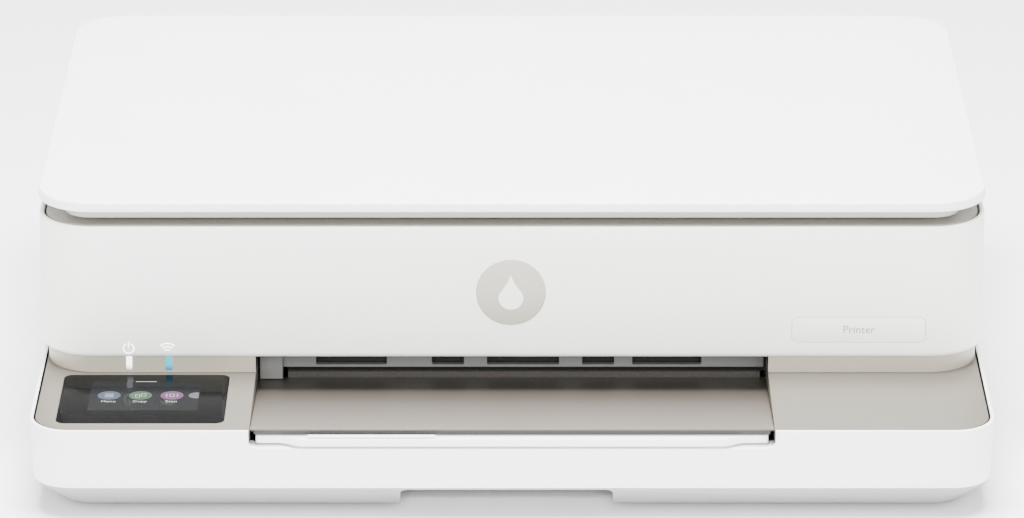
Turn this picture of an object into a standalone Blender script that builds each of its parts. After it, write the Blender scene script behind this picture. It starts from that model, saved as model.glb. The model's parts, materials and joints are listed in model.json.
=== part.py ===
"""Inkjet printer: base with input tray, output bay, print engine, scanner unit and lid.

Frame: origin at the bottom centre on the surface, +X right, +Y back, +Z up, metres.
The scanner unit lifts on rear posts, the lid lifts on the scanner unit, the input tray
slides out at the front, and the print engine's shafts, carriage and guides all move.
"""

import math

import bmesh
import bpy
from mathutils import Matrix, Vector

# ---------------------------------------------------------------- driving sizes
WIDTH = 0.4325              # over the lower band's rim
DEPTH = 0.361               # front rim to the back of the rear cover
RIM_HEIGHT = 0.0429         # top of the lower band, level with the deck
FOOT_HEIGHT = 0.0037        # gap under the base
HEIGHT = 0.127              # crown of the lid
BASE_CHAMFER = 0.011
BASE_DRAFT = 0.00104
BASE_CORNER = 0.019
BASE_FOOT_CORNER = 0.015
BASE_WALL = 0.0016
BASE_FLOOR = 0.0022
REAR_COVER_DEPTH = 0.0061
DECK_LENGTH = 0.0705        # front rim to the scanner unit's front face
DECK_THICKNESS = 0.0022
SEAM = 0.0006               # open seam between two covers
GAP = 0.0003                # between two pieces that touch
UPPER_BOTTOM = 0.0509
UPPER_TOP = 0.1141
UPPER_CORNER = 0.026
UPPER_WALL = 0.0024
SLIP = 0.0005               # clearance round a cover that lifts off another
RING_TOP = 0.054
RING_WALL = 0.002
REAR_RING_TOP = 0.049
LID_LIP_BOTTOM = 0.1214
LID_EDGE_TOP = 0.1261
LID_WALL = 0.0024
LINER_BOTTOM = 0.1177
BEZEL_TOP = 0.1141
BEZEL_THICKNESS = 0.0022
BEZEL_STEP = 0.0011         # open gap between the bezel and the wall around it
LINER_SIDE_STEP = 0.0128    # lid liner inset from the lid on each side
LINER_CORNER = 0.0124
PAPER_WIDTH = 0.216
BAY_CLEARANCE = 0.0092      # free width beside the paper on each side of the bay
TRAY_FRONT_LENGTH = 0.0385
EXIT_DISTANCE = 0.0995      # front rim to the exit frame
FLOOR_FRONT_HEIGHT = 0.0416
FLOOR_BACK_HEIGHT = 0.0312
FLOOR_THICKNESS = 0.002
LIP_SETBACK = 0.004
RIB_HEIGHT = 0.0032         # rib along the back of the bay floor
BLOCK_WIDTH = 0.0105        # block at the left end of the exit frame
BLOCK_REACH = 0.004
STOP_MARGIN = 0.0232        # end of the extender to the paper stop
STOP_RIGHT = -0.034
STOP_LENGTH = 0.0021
STOP_THICKNESS = 0.0007
GLASS_WIDTH = 0.0752
GLASS_LENGTH = 0.0597
GLASS_SETBACK = 0.0099
GLASS_TO_BAY = 0.0117
GLASS_THICKNESS = 0.0018
DISPLAY_WIDTH = 0.052
DISPLAY_LENGTH = 0.040
DISPLAY_DEPTH = 0.003
REAR_COVER_WIDTH = 0.252
REAR_COVER_BOTTOM = 0.0125
VENT_COUNT = 9
VENT_PITCH = 0.022
VENT_WIDTH = 0.014
VENT_HEIGHT = 0.0025
INLET_MARGIN = 0.04625      # side of the base to the power inlet
PORT_MARGIN = 0.06925       # side of the base to the data port
POWER_KEY_MARGIN = 0.04825
WIRELESS_KEY_MARGIN = 0.03025
SLOT_WIDTHS = (0.0328, 0.0148, 0.0333, 0.0148, 0.0319)
SLOT_SHIFTS = (0.0048, 0.0094, 0.0041, -0.0012, -0.0095)   # each slot from an even row
SLOT_SIDE_BLOCK = 0.0182
SLOT_MARGIN = 0.0344        # bay width that holds no slots
BADGE_DIAMETER = 0.0314
BADGE_HEIGHT = 0.0827
BADGE_THICKNESS = 0.0011
PLATE_WIDTH = 0.0609
PLATE_HEIGHT = 0.0122
PLATE_MARGIN = 0.02775      # nameplate to the side of the base
PLATE_CENTRE_HEIGHT = 0.0645
PLATE_THICKNESS = 0.0009
NOTCH_WIDTH = 0.0958
NOTCH_CENTRE = -0.0025
NOTCH_HEIGHT = 0.0105
NOTCH_LENGTH = 0.019
SCAN_WIDTH = 0.302          # opening over the glass, along X
SCAN_LENGTH = 0.220
SHAFT_RADIUS = 0.003
SHAFT_HEIGHT = 0.041
SHAFT_FIT = 0.0002          # between a shaft and a wheel's bore
FEED_ROLLER_RADIUS = 0.006
EXIT_ROLLER_RADIUS = 0.005
PICKUP_ROLLER_RADIUS = 0.0075
PICKUP_DROP = 0.008
GEAR_MODULE = 0.002
FEED_TEETH = 20
IDLER_TEETH = 26
PINION_TEETH = 8
GEAR_WIDTH = 0.006
EXIT_ROLLER_SETBACK = 0.034
BIN_WALL = 0.0016
BIN_TOP = 0.0245
BIN_REAR_SPACE = 0.062
BIN_CLEARANCE = 0.0055
RACK_MODULE = 0.0015
RACK_TEETH = 10
RACK_ARM = 0.004
RACK_REACH = 0.011
CARRIAGE_WIDTH = 0.080
CARRIAGE_BOTTOM = 0.050
CARRIAGE_TOP = 0.072
CARRIAGE_WALL = 0.002
PULLEY_RADIUS = 0.006
BELT_THICKNESS = 0.0012
BELT_WIDTH = 0.004
BELT_HEIGHT = 0.061
SCAN_HINGE_HEIGHT = 0.060
SCAN_HINGE_X = 0.140
HINGE_NOTCH = 0.026
LID_HINGE_HEIGHT = 0.1198
LID_HINGE_X = 0.150

# ---------------------------------------------------------------- worked out
FRONT = -DEPTH / 2
BACK = DEPTH / 2
BASE_BACK = BACK - REAR_COVER_DEPTH - GAP
HALF = WIDTH / 2
PANEL = FRONT + DECK_LENGTH
UPPER_BACK = BASE_BACK - 0.0029
SPLIT = FRONT + TRAY_FRONT_LENGTH
EXIT = FRONT + EXIT_DISTANCE
BAY_HALF = PAPER_WIDTH / 2 + BAY_CLEARANCE
EXIT_AXIS = EXIT + EXIT_ROLLER_SETBACK
GEAR_RADIUS = GEAR_MODULE * FEED_TEETH / 2
IDLER_RADIUS = GEAR_MODULE * IDLER_TEETH / 2
PINION_RADIUS = GEAR_MODULE * PINION_TEETH / 2
IDLER_AXIS = EXIT_AXIS + GEAR_RADIUS + IDLER_RADIUS
FEED_AXIS = IDLER_AXIS + IDLER_RADIUS + GEAR_RADIUS
PICKUP_AXIS = FEED_AXIS + math.sqrt((2 * GEAR_RADIUS) ** 2 - PICKUP_DROP ** 2)
MOTOR_AXIS = EXIT_AXIS - GEAR_RADIUS - PINION_RADIUS
INNER_HALF = HALF - BASE_WALL - BASE_DRAFT
GEAR_X = -INNER_HALF + 0.0105
FLOOR_START = FRONT + LIP_SETBACK + 0.0043
FLOOR_END = EXIT - 0.003
FLOOR_SLOPE = (FLOOR_FRONT_HEIGHT - FLOOR_BACK_HEIGHT) / (FLOOR_END - FLOOR_START)
SCAN_HINGE_Y = UPPER_BACK - 0.0031
LID_HINGE_Y = UPPER_BACK - 0.0026
LID_FRONT = PANEL - 0.0005
LID_BACK = UPPER_BACK + 0.0005
SCAN_CENTRE = (PANEL + UPPER_BACK) / 2 - 0.005
BED_FLOOR = 0.0935


def rest_of(y):
    """Height of the bay floor's top at the place y along Y."""
    return FLOOR_FRONT_HEIGHT - FLOOR_SLOPE * (y - FLOOR_START)


# ---------------------------------------------------------------- helpers
for old in list(bpy.data.objects):
    bpy.data.objects.remove(old, do_unlink=True)
PARTS = bpy.data.collections.new("inkjet_printer")
TOOLS = bpy.data.collections.new("cutters")
bpy.context.scene.collection.children.link(PARTS)
bpy.context.scene.collection.children.link(TOOLS)
FINISHES = {}


def finish(name, colour, roughness=0.5, metallic=0.0):
    """Make or fetch a plain Principled material."""
    if name not in FINISHES:
        made = bpy.data.materials.new(name)
        made.use_nodes = True
        shader = made.node_tree.nodes["Principled BSDF"]
        shader.inputs["Base Color"].default_value = (*colour, 1.0)
        shader.inputs["Roughness"].default_value = roughness
        shader.inputs["Metallic"].default_value = metallic
        made.diffuse_color = (*colour, 1.0)
        FINISHES[name] = made
    return FINISHES[name]


COVER = ("cover_white", (0.86, 0.87, 0.86), 0.5)
PANEL_WHITE = ("panel_white", (0.86, 0.86, 0.83), 0.5)
DECK = ("deck_beige", (0.56, 0.51, 0.43), 0.5)
BEIGE_GREY = ("bezel_beige", (0.36, 0.33, 0.28), 0.5)
GREY = ("inner_grey", (0.20, 0.20, 0.19), 0.5)
DARK = ("dark_plastic", (0.03, 0.03, 0.03), 0.5)
GLOSS = ("touch_black", (0.01, 0.01, 0.01), 0.08)
CLEAR = ("scan_glass", (0.5, 0.6, 0.58), 0.05)
STEEL = ("steel", (0.6, 0.6, 0.6), 0.35, 1.0)
RUBBER = ("rubber", (0.03, 0.03, 0.03), 0.8)
BOARD = ("board_green", (0.02, 0.12, 0.05), 0.5)
GEARS = ("gear_white", (0.75, 0.74, 0.70), 0.5)
BADGE = ("badge_champagne", (0.60, 0.56, 0.48), 0.35)
CYAN = ("light_cyan", (0.10, 0.62, 0.80), 0.3)
PALE = ("light_white", (0.90, 0.92, 0.95), 0.3)


def place(mesh, name, kind):
    """Link a mesh as a finished part, or as a hidden cutter when kind is None."""
    item = bpy.data.objects.new(name, mesh)
    if kind is None:
        TOOLS.objects.link(item)
        item.hide_render = True
        item.display_type = "WIRE"
    else:
        PARTS.objects.link(item)
        mesh.materials.clear()
        mesh.materials.append(finish(name + "_" + kind[0], *kind[1:]))
    return item


def from_bmesh(shape, name, kind):
    """Close a bmesh into a mesh with its faces pointing out."""
    bmesh.ops.recalc_face_normals(shape, faces=shape.faces)
    mesh = bpy.data.meshes.new(name)
    shape.to_mesh(mesh)
    shape.free()
    return place(mesh, name, kind)


def block(name, low, high, kind=None, radius=0.0, along="Z", steps=3):
    """A box from corner to corner; its edges along one axis may be rounded."""
    shape = bmesh.new()
    bmesh.ops.create_cube(shape, size=1.0)
    low, high = Vector(low), Vector(high)
    size = high - low
    for vert in shape.verts:
        centred = Vector(vert.co) + Vector((0.5, 0.5, 0.5))
        vert.co = low + Vector(a * b for a, b in zip(centred, size))
    if radius > 0:
        index = "XYZ".index(along)
        edges = [edge for edge in shape.edges
                 if abs((edge.verts[0].co - edge.verts[1].co).normalized()[index]) > 0.9]
        bmesh.ops.bevel(shape, geom=edges, offset=radius, segments=steps,
                        profile=0.5, affect="EDGES")
    return from_bmesh(shape, name, kind)


def ring_points(half, low, high, radius, steps=5):
    """Points round a rectangle with rounded corners, x from -half to half."""
    points = []
    corners = ((half, high, 0), (-half, high, 1), (-half, low, 2), (half, low, 3))
    for x, y, quarter in corners:
        centre_x = x - math.copysign(radius, x)
        centre_y = y - radius if quarter < 2 else y + radius
        for step in range(steps + 1):
            angle = (quarter + step / steps) * math.pi / 2
            points.append((centre_x + radius * math.cos(angle),
                           centre_y + radius * math.sin(angle)))
    return points


def loft(name, sections, kind=None, steps=5):
    """Skin rounded rectangles of different sizes, each (z, half, low, high, radius)."""
    shape = bmesh.new()
    rings = []
    for z, half, low, high, radius in sections:
        points = ring_points(half, low, high, radius, steps)
        rings.append([shape.verts.new((x, y, z)) for x, y in points])
    count = len(rings[0])
    for lower, upper in zip(rings, rings[1:]):
        for index in range(count):
            after = (index + 1) % count
            shape.faces.new((lower[index], lower[after], upper[after], upper[index]))
    shape.faces.new(rings[0][::-1])
    shape.faces.new(rings[-1])
    return from_bmesh(shape, name, kind)


def drum(name, start, end, radius, kind=None, sides=20):
    """A cylinder between two points on a line along X, Y or Z."""
    start, end = Vector(start), Vector(end)
    shape = bmesh.new()
    length = (end - start).length
    bmesh.ops.create_cone(shape, cap_ends=True, segments=sides,
                          radius1=radius, radius2=radius, depth=length)
    turn = Vector((0, 0, 1)).rotation_difference((end - start).normalized())
    bmesh.ops.transform(shape, verts=shape.verts,
                        matrix=Matrix.Translation((start + end) / 2) @ turn.to_matrix().to_4x4())
    return from_bmesh(shape, name, kind)


def outline(name, points, axis, low, high, kind=None, holes=()):
    """A flat outline with thickness from low to high along one axis.

    Points are (y, z) for axis X, (x, z) for axis Y and (x, y) for axis Z.
    """
    curve = bpy.data.curves.new(name + "_curve", "CURVE")
    curve.dimensions = "2D"
    curve.fill_mode = "BOTH"
    curve.extrude = (high - low) / 2
    for loop in (points, *holes):
        spline = curve.splines.new("POLY")
        spline.points.add(len(loop) - 1)
        for point, (u, v) in zip(spline.points, loop):
            point.co = (u, v, 0.0, 1.0)
        spline.use_cyclic_u = True
    drawn = bpy.data.objects.new(name + "_curve", curve)
    TOOLS.objects.link(drawn)
    evaluated = drawn.evaluated_get(bpy.context.evaluated_depsgraph_get())
    mesh = bpy.data.meshes.new_from_object(evaluated)
    bpy.data.objects.remove(drawn, do_unlink=True)
    shape = bmesh.new()
    shape.from_mesh(mesh)
    bpy.data.meshes.remove(mesh)
    bmesh.ops.remove_doubles(shape, verts=shape.verts, dist=1e-6)
    bmesh.ops.dissolve_limit(shape, angle_limit=0.001, verts=shape.verts, edges=shape.edges)
    middle = (low + high) / 2
    columns = {"X": ((0, 0, 1), (1, 0, 0), (0, 1, 0)),
               "Y": ((1, 0, 0), (0, 0, -1), (0, 1, 0)),
               "Z": ((1, 0, 0), (0, 1, 0), (0, 0, 1))}[axis]
    offset = {"X": (middle, 0, 0), "Y": (0, middle, 0), "Z": (0, 0, middle)}[axis]
    turn = Matrix(columns).to_4x4()
    bmesh.ops.transform(shape, verts=shape.verts, matrix=Matrix.Translation(offset) @ turn)
    return from_bmesh(shape, name, kind)


def toothed(teeth, module, centre, phase):
    """Outline of a spur wheel with slim straight-sided teeth."""
    radius = module * teeth / 2
    pitch = 2 * math.pi / teeth
    shape = ((-0.27, -1.2), (-0.11, 0.8), (0.11, 0.8), (0.27, -1.2))
    points = []
    for tooth in range(teeth):
        for share, height in shape:
            angle = phase + (tooth + share) * pitch
            reach = radius + height * module
            points.append((centre[0] + reach * math.cos(angle),
                           centre[1] + reach * math.sin(angle)))
    return points


def meshing_phase(phase, teeth, direction, other_teeth):
    """Phase of the wheel that lies in a direction and meshes with a wheel at phase."""
    share = (direction - phase) / (2 * math.pi / teeth)
    return direction + math.pi - (0.5 - share) * 2 * math.pi / other_teeth


def combine(target, tool, operation, solver="EXACT"):
    """Cut a tool out of a target, or join it on."""
    step = target.modifiers.new(operation.lower(), "BOOLEAN")
    step.operation = operation
    step.solver = solver
    step.object = tool
    return target


def cut(target, *tools):
    """Take each tool away from the target."""
    for tool in tools:
        combine(target, tool, "DIFFERENCE")
    return target


def join(target, *tools):
    """Add each tool to the target."""
    for tool in tools:
        combine(target, tool, "UNION")
    return target


def fuse(target, tool):
    """Join a tool onto an outline whose many points lie in one line."""
    return combine(target, tool, "UNION", "MANIFOLD")


def set_origin(item, point):
    """Put a moving piece's origin on its joint's axis."""
    point = Vector(point)
    item.data.transform(Matrix.Translation(-point))
    item.location = point
    return item


# ---------------------------------------------------------------- base and covers
def band(name, inset, kind=None, floor=0.0):
    """The lower band: straight drafted wall over a chamfer, at an inset."""
    low = FOOT_HEIGHT + floor
    bend = FOOT_HEIGHT + BASE_CHAMFER + inset / 2
    foot_inset = BASE_CHAMFER + BASE_DRAFT - floor + inset * 1.3
    top = RIM_HEIGHT + (0.002 if inset else 0.0)
    corner = BASE_CORNER - inset
    sections = [(low, HALF - foot_inset, FRONT + foot_inset, BASE_BACK - foot_inset, BASE_FOOT_CORNER),
                (bend, HALF - BASE_DRAFT - inset, FRONT + BASE_DRAFT + inset,
                 BASE_BACK - BASE_DRAFT - inset, corner),
                (top, HALF - inset, FRONT + inset, BASE_BACK - inset, corner)]
    return loft(name, sections, kind, steps=6)


def make_base():
    """Base pan behind the split, with bulkheads and openings at the back."""
    pan = band("base_pan", 0.0, COVER)
    cut(pan, band("pan_hollow", BASE_WALL, floor=BASE_FLOOR))
    cut(pan, block("pan_front_cut", (-1, -1, -1), (1, SPLIT, 1)))
    for side, tag in ((-1, "left"), (1, "right")):
        ends = sorted((side * (BAY_HALF + 0.004), side * (HALF - BASE_WALL)))
        join(pan, block("bulkhead_" + tag,
                        (ends[0], SPLIT, FOOT_HEIGHT + BASE_CHAMFER + 0.001),
                        (ends[1], SPLIT + BASE_WALL, RIM_HEIGHT - DECK_THICKNESS - DISPLAY_DEPTH - 2 * GAP)))
    for low, high, label in rear_sockets():
        cut(pan, block("hole_" + label, (low[0] - GAP, BASE_BACK - 0.004, low[1] - GAP),
                       (high[0] + GAP, BASE_BACK + 0.004, high[1] + GAP)))
    end = GEAR_X + GEAR_WIDTH
    join(pan, block("idler_post", (end + 0.0006, IDLER_AXIS - 0.006, FOOT_HEIGHT + BASE_FLOOR - 0.001),
                    (end + 0.0046, IDLER_AXIS + 0.006, SHAFT_HEIGHT + 0.006)),
         drum("idler_stub", (GEAR_X - 0.002, IDLER_AXIS, SHAFT_HEIGHT),
              (end + 0.0045, IDLER_AXIS, SHAFT_HEIGHT), 0.0023))
    foot_x = HALF - 0.036
    for name, x, y in (("foot_front_left", -foot_x, SPLIT + 0.017),
                       ("foot_front_right", foot_x, SPLIT + 0.017),
                       ("foot_rear_left", -foot_x, BASE_BACK - 0.026),
                       ("foot_rear_right", foot_x, BASE_BACK - 0.026)):
        drum(name, (x, y, 0), (x, y, FOOT_HEIGHT - GAP), 0.008, RUBBER)


def rear_sockets():
    """Low and high (x, z) corners of each hole in the back wall."""
    inlet = HALF - INLET_MARGIN
    port = PORT_MARGIN - HALF
    power = POWER_KEY_MARGIN - HALF
    wireless = WIRELESS_KEY_MARGIN - HALF
    return (((inlet - 0.0260, 0.0170), (inlet, 0.0330), "inlet"),
            ((port, 0.0180), (port + 0.0140, 0.0290), "port"),
            ((power, 0.0240), (power + 0.0100, 0.0300), "power"),
            ((wireless, 0.0240), (wireless + 0.0100, 0.0300), "wireless"))


def make_rear():
    """Rear cover, power inlet, data port and the two sprung buttons."""
    cover = block("rear_cover", (-REAR_COVER_WIDTH / 2, BASE_BACK + GAP, REAR_COVER_BOTTOM),
                  (REAR_COVER_WIDTH / 2, BACK, SCAN_HINGE_HEIGHT - 0.0015), COVER, 0.005, "Y")
    vent_low = REAR_COVER_BOTTOM + 0.0095
    for index in range(VENT_COUNT):
        x = (index - (VENT_COUNT - 1) / 2) * VENT_PITCH
        cut(cover, block("vent_%d" % index, (x - VENT_WIDTH / 2, BACK - 0.0025, vent_low),
                         (x + VENT_WIDTH / 2, BACK + 0.004, vent_low + VENT_HEIGHT)))
    inlet_low, inlet_high = rear_sockets()[0][:2]
    inlet = block("power_inlet", (inlet_low[0], BASE_BACK - 0.011, inlet_low[1]),
                  (inlet_high[0], BASE_BACK + 0.0006, inlet_high[1]), DARK, 0.002, "Y")
    cut(inlet, block("inlet_socket", (inlet_low[0] + 0.0035, BASE_BACK - 0.009, inlet_low[1] + 0.0035),
                     (inlet_high[0] - 0.0035, BASE_BACK + 0.004, inlet_high[1] - 0.0035),
                     None, 0.003, "Y"))
    port_low, port_high = rear_sockets()[1][:2]
    port = block("data_port", (port_low[0], BASE_BACK - 0.014, port_low[1]),
                 (port_high[0], BASE_BACK + 0.0004, port_high[1]), STEEL)
    cut(port, block("port_socket", (port_low[0] + 0.0012, BASE_BACK - 0.012, port_low[1] + 0.0012),
                    (port_high[0] - 0.0012, BASE_BACK + 0.004, port_high[1] - 0.0012)))
    for index, name in ((2, "power_button"), (3, "wireless_button")):
        low, high = rear_sockets()[index][:2]
        key = block(name, (low[0], BASE_BACK - 0.005, low[1]),
                    (high[0], BASE_BACK + 0.0014, high[1]), GREY, 0.0012, "Y")
        set_origin(key, ((low[0] + high[0]) / 2, BASE_BACK, (low[1] + high[1]) / 2))


def glass_corners():
    """Low and high (x, y) corners of the touch glass."""
    right = -BAY_HALF - GLASS_TO_BAY
    front = FRONT + GLASS_SETBACK
    return (right - GLASS_WIDTH, front), (right, front + GLASS_LENGTH)


def make_deck():
    """Beige deck, the wall that rises into the scanner unit, and the bay's cheeks."""
    inset = BASE_WALL + SEAM
    corner = BASE_CORNER - inset
    low = RIM_HEIGHT - DECK_THICKNESS
    edges = (HALF - inset, FRONT + inset, BASE_BACK - inset, corner)
    deck = loft("deck_cover", [(low, *edges), (RIM_HEIGHT, *edges)], DECK, 6)
    step = UPPER_WALL + SLIP
    ring = (HALF - step, PANEL + step, UPPER_BACK - step, UPPER_CORNER - step)
    join(deck, loft("ring_body", [(low + 0.0005, *ring), (RING_TOP, *ring)], None, 6))
    inner = (ring[0] - RING_WALL, ring[1] + RING_WALL, ring[2] - RING_WALL, ring[3] - RING_WALL)
    cut(deck, loft("ring_hollow", [(0.03, *inner), (0.07, *inner)], None, 6))
    cut(deck, block("rear_lower", (-1, UPPER_BACK - 0.026, REAR_RING_TOP), (1, 1, 1)))
    rise = (ring[2] - RING_WALL, ring[2] - 0.0004)
    notch = SCAN_HINGE_X - HINGE_NOTCH / 2
    for label, start, end in (("middle", -notch, notch),
                              ("left", -notch - HINGE_NOTCH - 0.007, -notch - HINGE_NOTCH),
                              ("right", notch + HINGE_NOTCH, notch + HINGE_NOTCH + 0.007)):
        join(deck, block("rear_rise_" + label, (start, rise[0], RIM_HEIGHT - 0.001),
                         (end, rise[1], SCAN_HINGE_HEIGHT + 0.0035)))
    cut(deck, block("bay_hollow", (-BAY_HALF, -1, 0.02), (BAY_HALF, PANEL + 0.02, 0.08)))
    for side in (-1, 1):
        ends = sorted((side * BAY_HALF, side * (BAY_HALF + RING_WALL)))
        join(deck, block("cheek_%s" % ("left" if side < 0 else "right"),
                         (ends[0], FRONT + LIP_SETBACK, BIN_TOP + 0.0045),
                         (ends[1], EXIT - 0.001, RIM_HEIGHT - 0.0004)))
        x = side * SCAN_HINGE_X
        tag = "left" if side < 0 else "right"
        join(deck, block("hinge_post_" + tag, (x - 0.004, SCAN_HINGE_Y + 0.0006, RIM_HEIGHT - 0.001),
                         (x + 0.004, SCAN_HINGE_Y + 0.0034, SCAN_HINGE_HEIGHT)),
             drum("post_barrel_" + tag, (x - 0.0048, SCAN_HINGE_Y, SCAN_HINGE_HEIGHT),
                  (x + 0.0048, SCAN_HINGE_Y, SCAN_HINGE_HEIGHT), 0.0035),
             drum("post_pin_" + tag, (x - 0.0105, SCAN_HINGE_Y, SCAN_HINGE_HEIGHT),
                  (x + 0.0105, SCAN_HINGE_Y, SCAN_HINGE_HEIGHT), 0.0020))
    (left, front), (right, back) = glass_corners()
    cut(deck, block("glass_hole", (left - GAP, front - GAP, 0.03),
                    (right + GAP, back + GAP, 0.06), None, 0.0043))
    for name, x, width, kind in light_places():
        cut(deck, block("slot_" + name, (x - width / 2 - GAP, PANEL, RIM_HEIGHT + 0.0007),
                        (x + width / 2 + GAP, ring[1] + 0.01, RING_TOP - 0.001)))


def light_places():
    """Name, place, width and finish of each light guide in the wall."""
    left = glass_corners()[0][0]
    return (("power_light", left + 0.0291, 0.0025, PALE),
            ("wireless_light", left + 0.0472, 0.0030, CYAN))


def make_controls():
    """Touch glass, display module and the two light guides."""
    (left, front), (right, back) = glass_corners()
    block("touch_glass", (left, front, RIM_HEIGHT - GLASS_THICKNESS),
          (right, back, RIM_HEIGHT + 0.0002), GLOSS, 0.004)
    centre_x = (left + right) / 2
    centre_y = front + 0.033
    top = RIM_HEIGHT - DECK_THICKNESS - GAP
    across, along = DISPLAY_WIDTH / 2, DISPLAY_LENGTH / 2
    block("display_module", (centre_x - across, centre_y - along, top - DISPLAY_DEPTH),
          (centre_x + across, centre_y + along, top), DARK, 0.001)
    face = PANEL + UPPER_WALL + SLIP
    for name, x, width, kind in light_places():
        block(name, (x - width / 2, face - 0.0002, RIM_HEIGHT + 0.001),
              (x + width / 2, face + 0.006, RING_TOP - 0.0013), kind)


# ---------------------------------------------------------------- output
def make_output():
    """Bay floor, its extender with a flip-up stop, and the slotted exit frame."""
    lip = FRONT + LIP_SETBACK
    under = FLOOR_THICKNESS
    side = [(lip, RIM_HEIGHT - 0.0015), (lip, RIM_HEIGHT - 0.0002),
            (lip + 0.0006, RIM_HEIGHT), (FLOOR_START - 0.0008, RIM_HEIGHT),
            (FLOOR_START, FLOOR_FRONT_HEIGHT), (FLOOR_END, FLOOR_BACK_HEIGHT),
            (FLOOR_END, FLOOR_BACK_HEIGHT + RIB_HEIGHT), (EXIT - 0.0008, FLOOR_BACK_HEIGHT + RIB_HEIGHT),
            (EXIT - 0.0008, FLOOR_BACK_HEIGHT - under), (FLOOR_END, FLOOR_BACK_HEIGHT - under),
            (FLOOR_START, FLOOR_FRONT_HEIGHT - under), (FLOOR_START - 0.0008, RIM_HEIGHT - 0.0024)]
    tray = outline("output_tray", side, "X", -BAY_HALF + GAP, BAY_HALF - GAP, BEIGE_GREY)
    for start, end in ((-1, -BAY_HALF + 0.003 + BLOCK_WIDTH), (BAY_HALF - 0.0028, 1)):
        cut(tray, block("rib_gap", (start, FLOOR_END - 0.0005, FLOOR_BACK_HEIGHT - 0.0004), (end, EXIT, 0.06)))

    plate_front = FLOOR_START - 0.0023
    plate_back = FLOOR_END - 0.010
    top = under + 0.0006
    sunk = 0.0003
    thick = 0.0018
    plate = [(plate_front, rest_of(plate_front) - top - thick - sunk),
             (plate_front, rest_of(plate_front) - top - sunk),
             (plate_back, rest_of(plate_back) - top - sunk),
             (plate_back, rest_of(plate_back) - top - thick - sunk)]
    half = BAY_HALF - 0.0027
    slider = outline("output_extender", plate, "X", -half + 0.004, half - 0.004, COVER)
    bar_top = rest_of(plate_front) - top
    shape = extender_plan(half, FRONT + 0.0002, FRONT + 0.0045, plate_front + 0.001)
    fuse(slider, outline("extender_bar", shape, "Z", bar_top - 0.0036, bar_top))
    set_origin(slider, (0, FRONT, bar_top))

    stop_front = FRONT + 0.0007
    stop = block("paper_stop", (-half + STOP_MARGIN, stop_front, bar_top + GAP),
                 (STOP_RIGHT, stop_front + STOP_LENGTH, bar_top + GAP + STOP_THICKNESS), COVER, 0.0007)
    set_origin(stop, (0, stop_front + 0.0002, bar_top + GAP + STOP_THICKNESS / 2))

    low = FLOOR_BACK_HEIGHT + 0.0041
    frame_top = RING_TOP - 0.004
    frame = block("exit_frame", (-BAY_HALF + 0.001, EXIT, low),
                  (BAY_HALF - 0.001, EXIT + 0.003, frame_top), GREY)
    for index, (start, end) in enumerate(exit_slots()):
        cut(frame, block("exit_slot_%d" % index, (start, EXIT - 0.002, low + 0.0012),
                         (end, EXIT + 0.006, frame_top - 0.002)))
    block_front = FLOOR_END - BLOCK_REACH
    join(frame, block("exit_block", (-BAY_HALF + 0.001, block_front, rest_of(block_front) + GAP),
                      (-BAY_HALF + 0.001 + BLOCK_WIDTH, EXIT + 0.008, frame_top)))


def exit_slots():
    """Left and right ends of each slot in the exit frame."""
    pitch = (BAY_HALF * 2 - SLOT_MARGIN) / len(SLOT_WIDTHS)
    first = -BAY_HALF + SLOT_SIDE_BLOCK
    slots = []
    for index, (shift, width) in enumerate(zip(SLOT_SHIFTS, SLOT_WIDTHS)):
        middle = first + (index + 0.5) * pitch + shift
        slots.append((middle - width / 2, middle + width / 2))
    return slots


def extender_plan(half, forward, setback, back):
    """Plan of the extender's front bar: its middle stands forward in two S bends."""
    bend_in = half - 0.021
    bend_out = half - 0.010
    points = [(-half, back)]
    steps = 5
    for side in (-1, 1):
        bend = []
        for step in range(steps + 1):
            share = step / steps
            x = bend_out + (bend_in - bend_out) * share
            y = setback + (forward - setback) * (1 - math.cos(math.pi * share)) / 2
            bend.append((side * x, y))
        ends = [(side * half, setback)]
        points += ends + bend if side < 0 else bend[::-1] + ends
    points.append((half, back))
    return points


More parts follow.
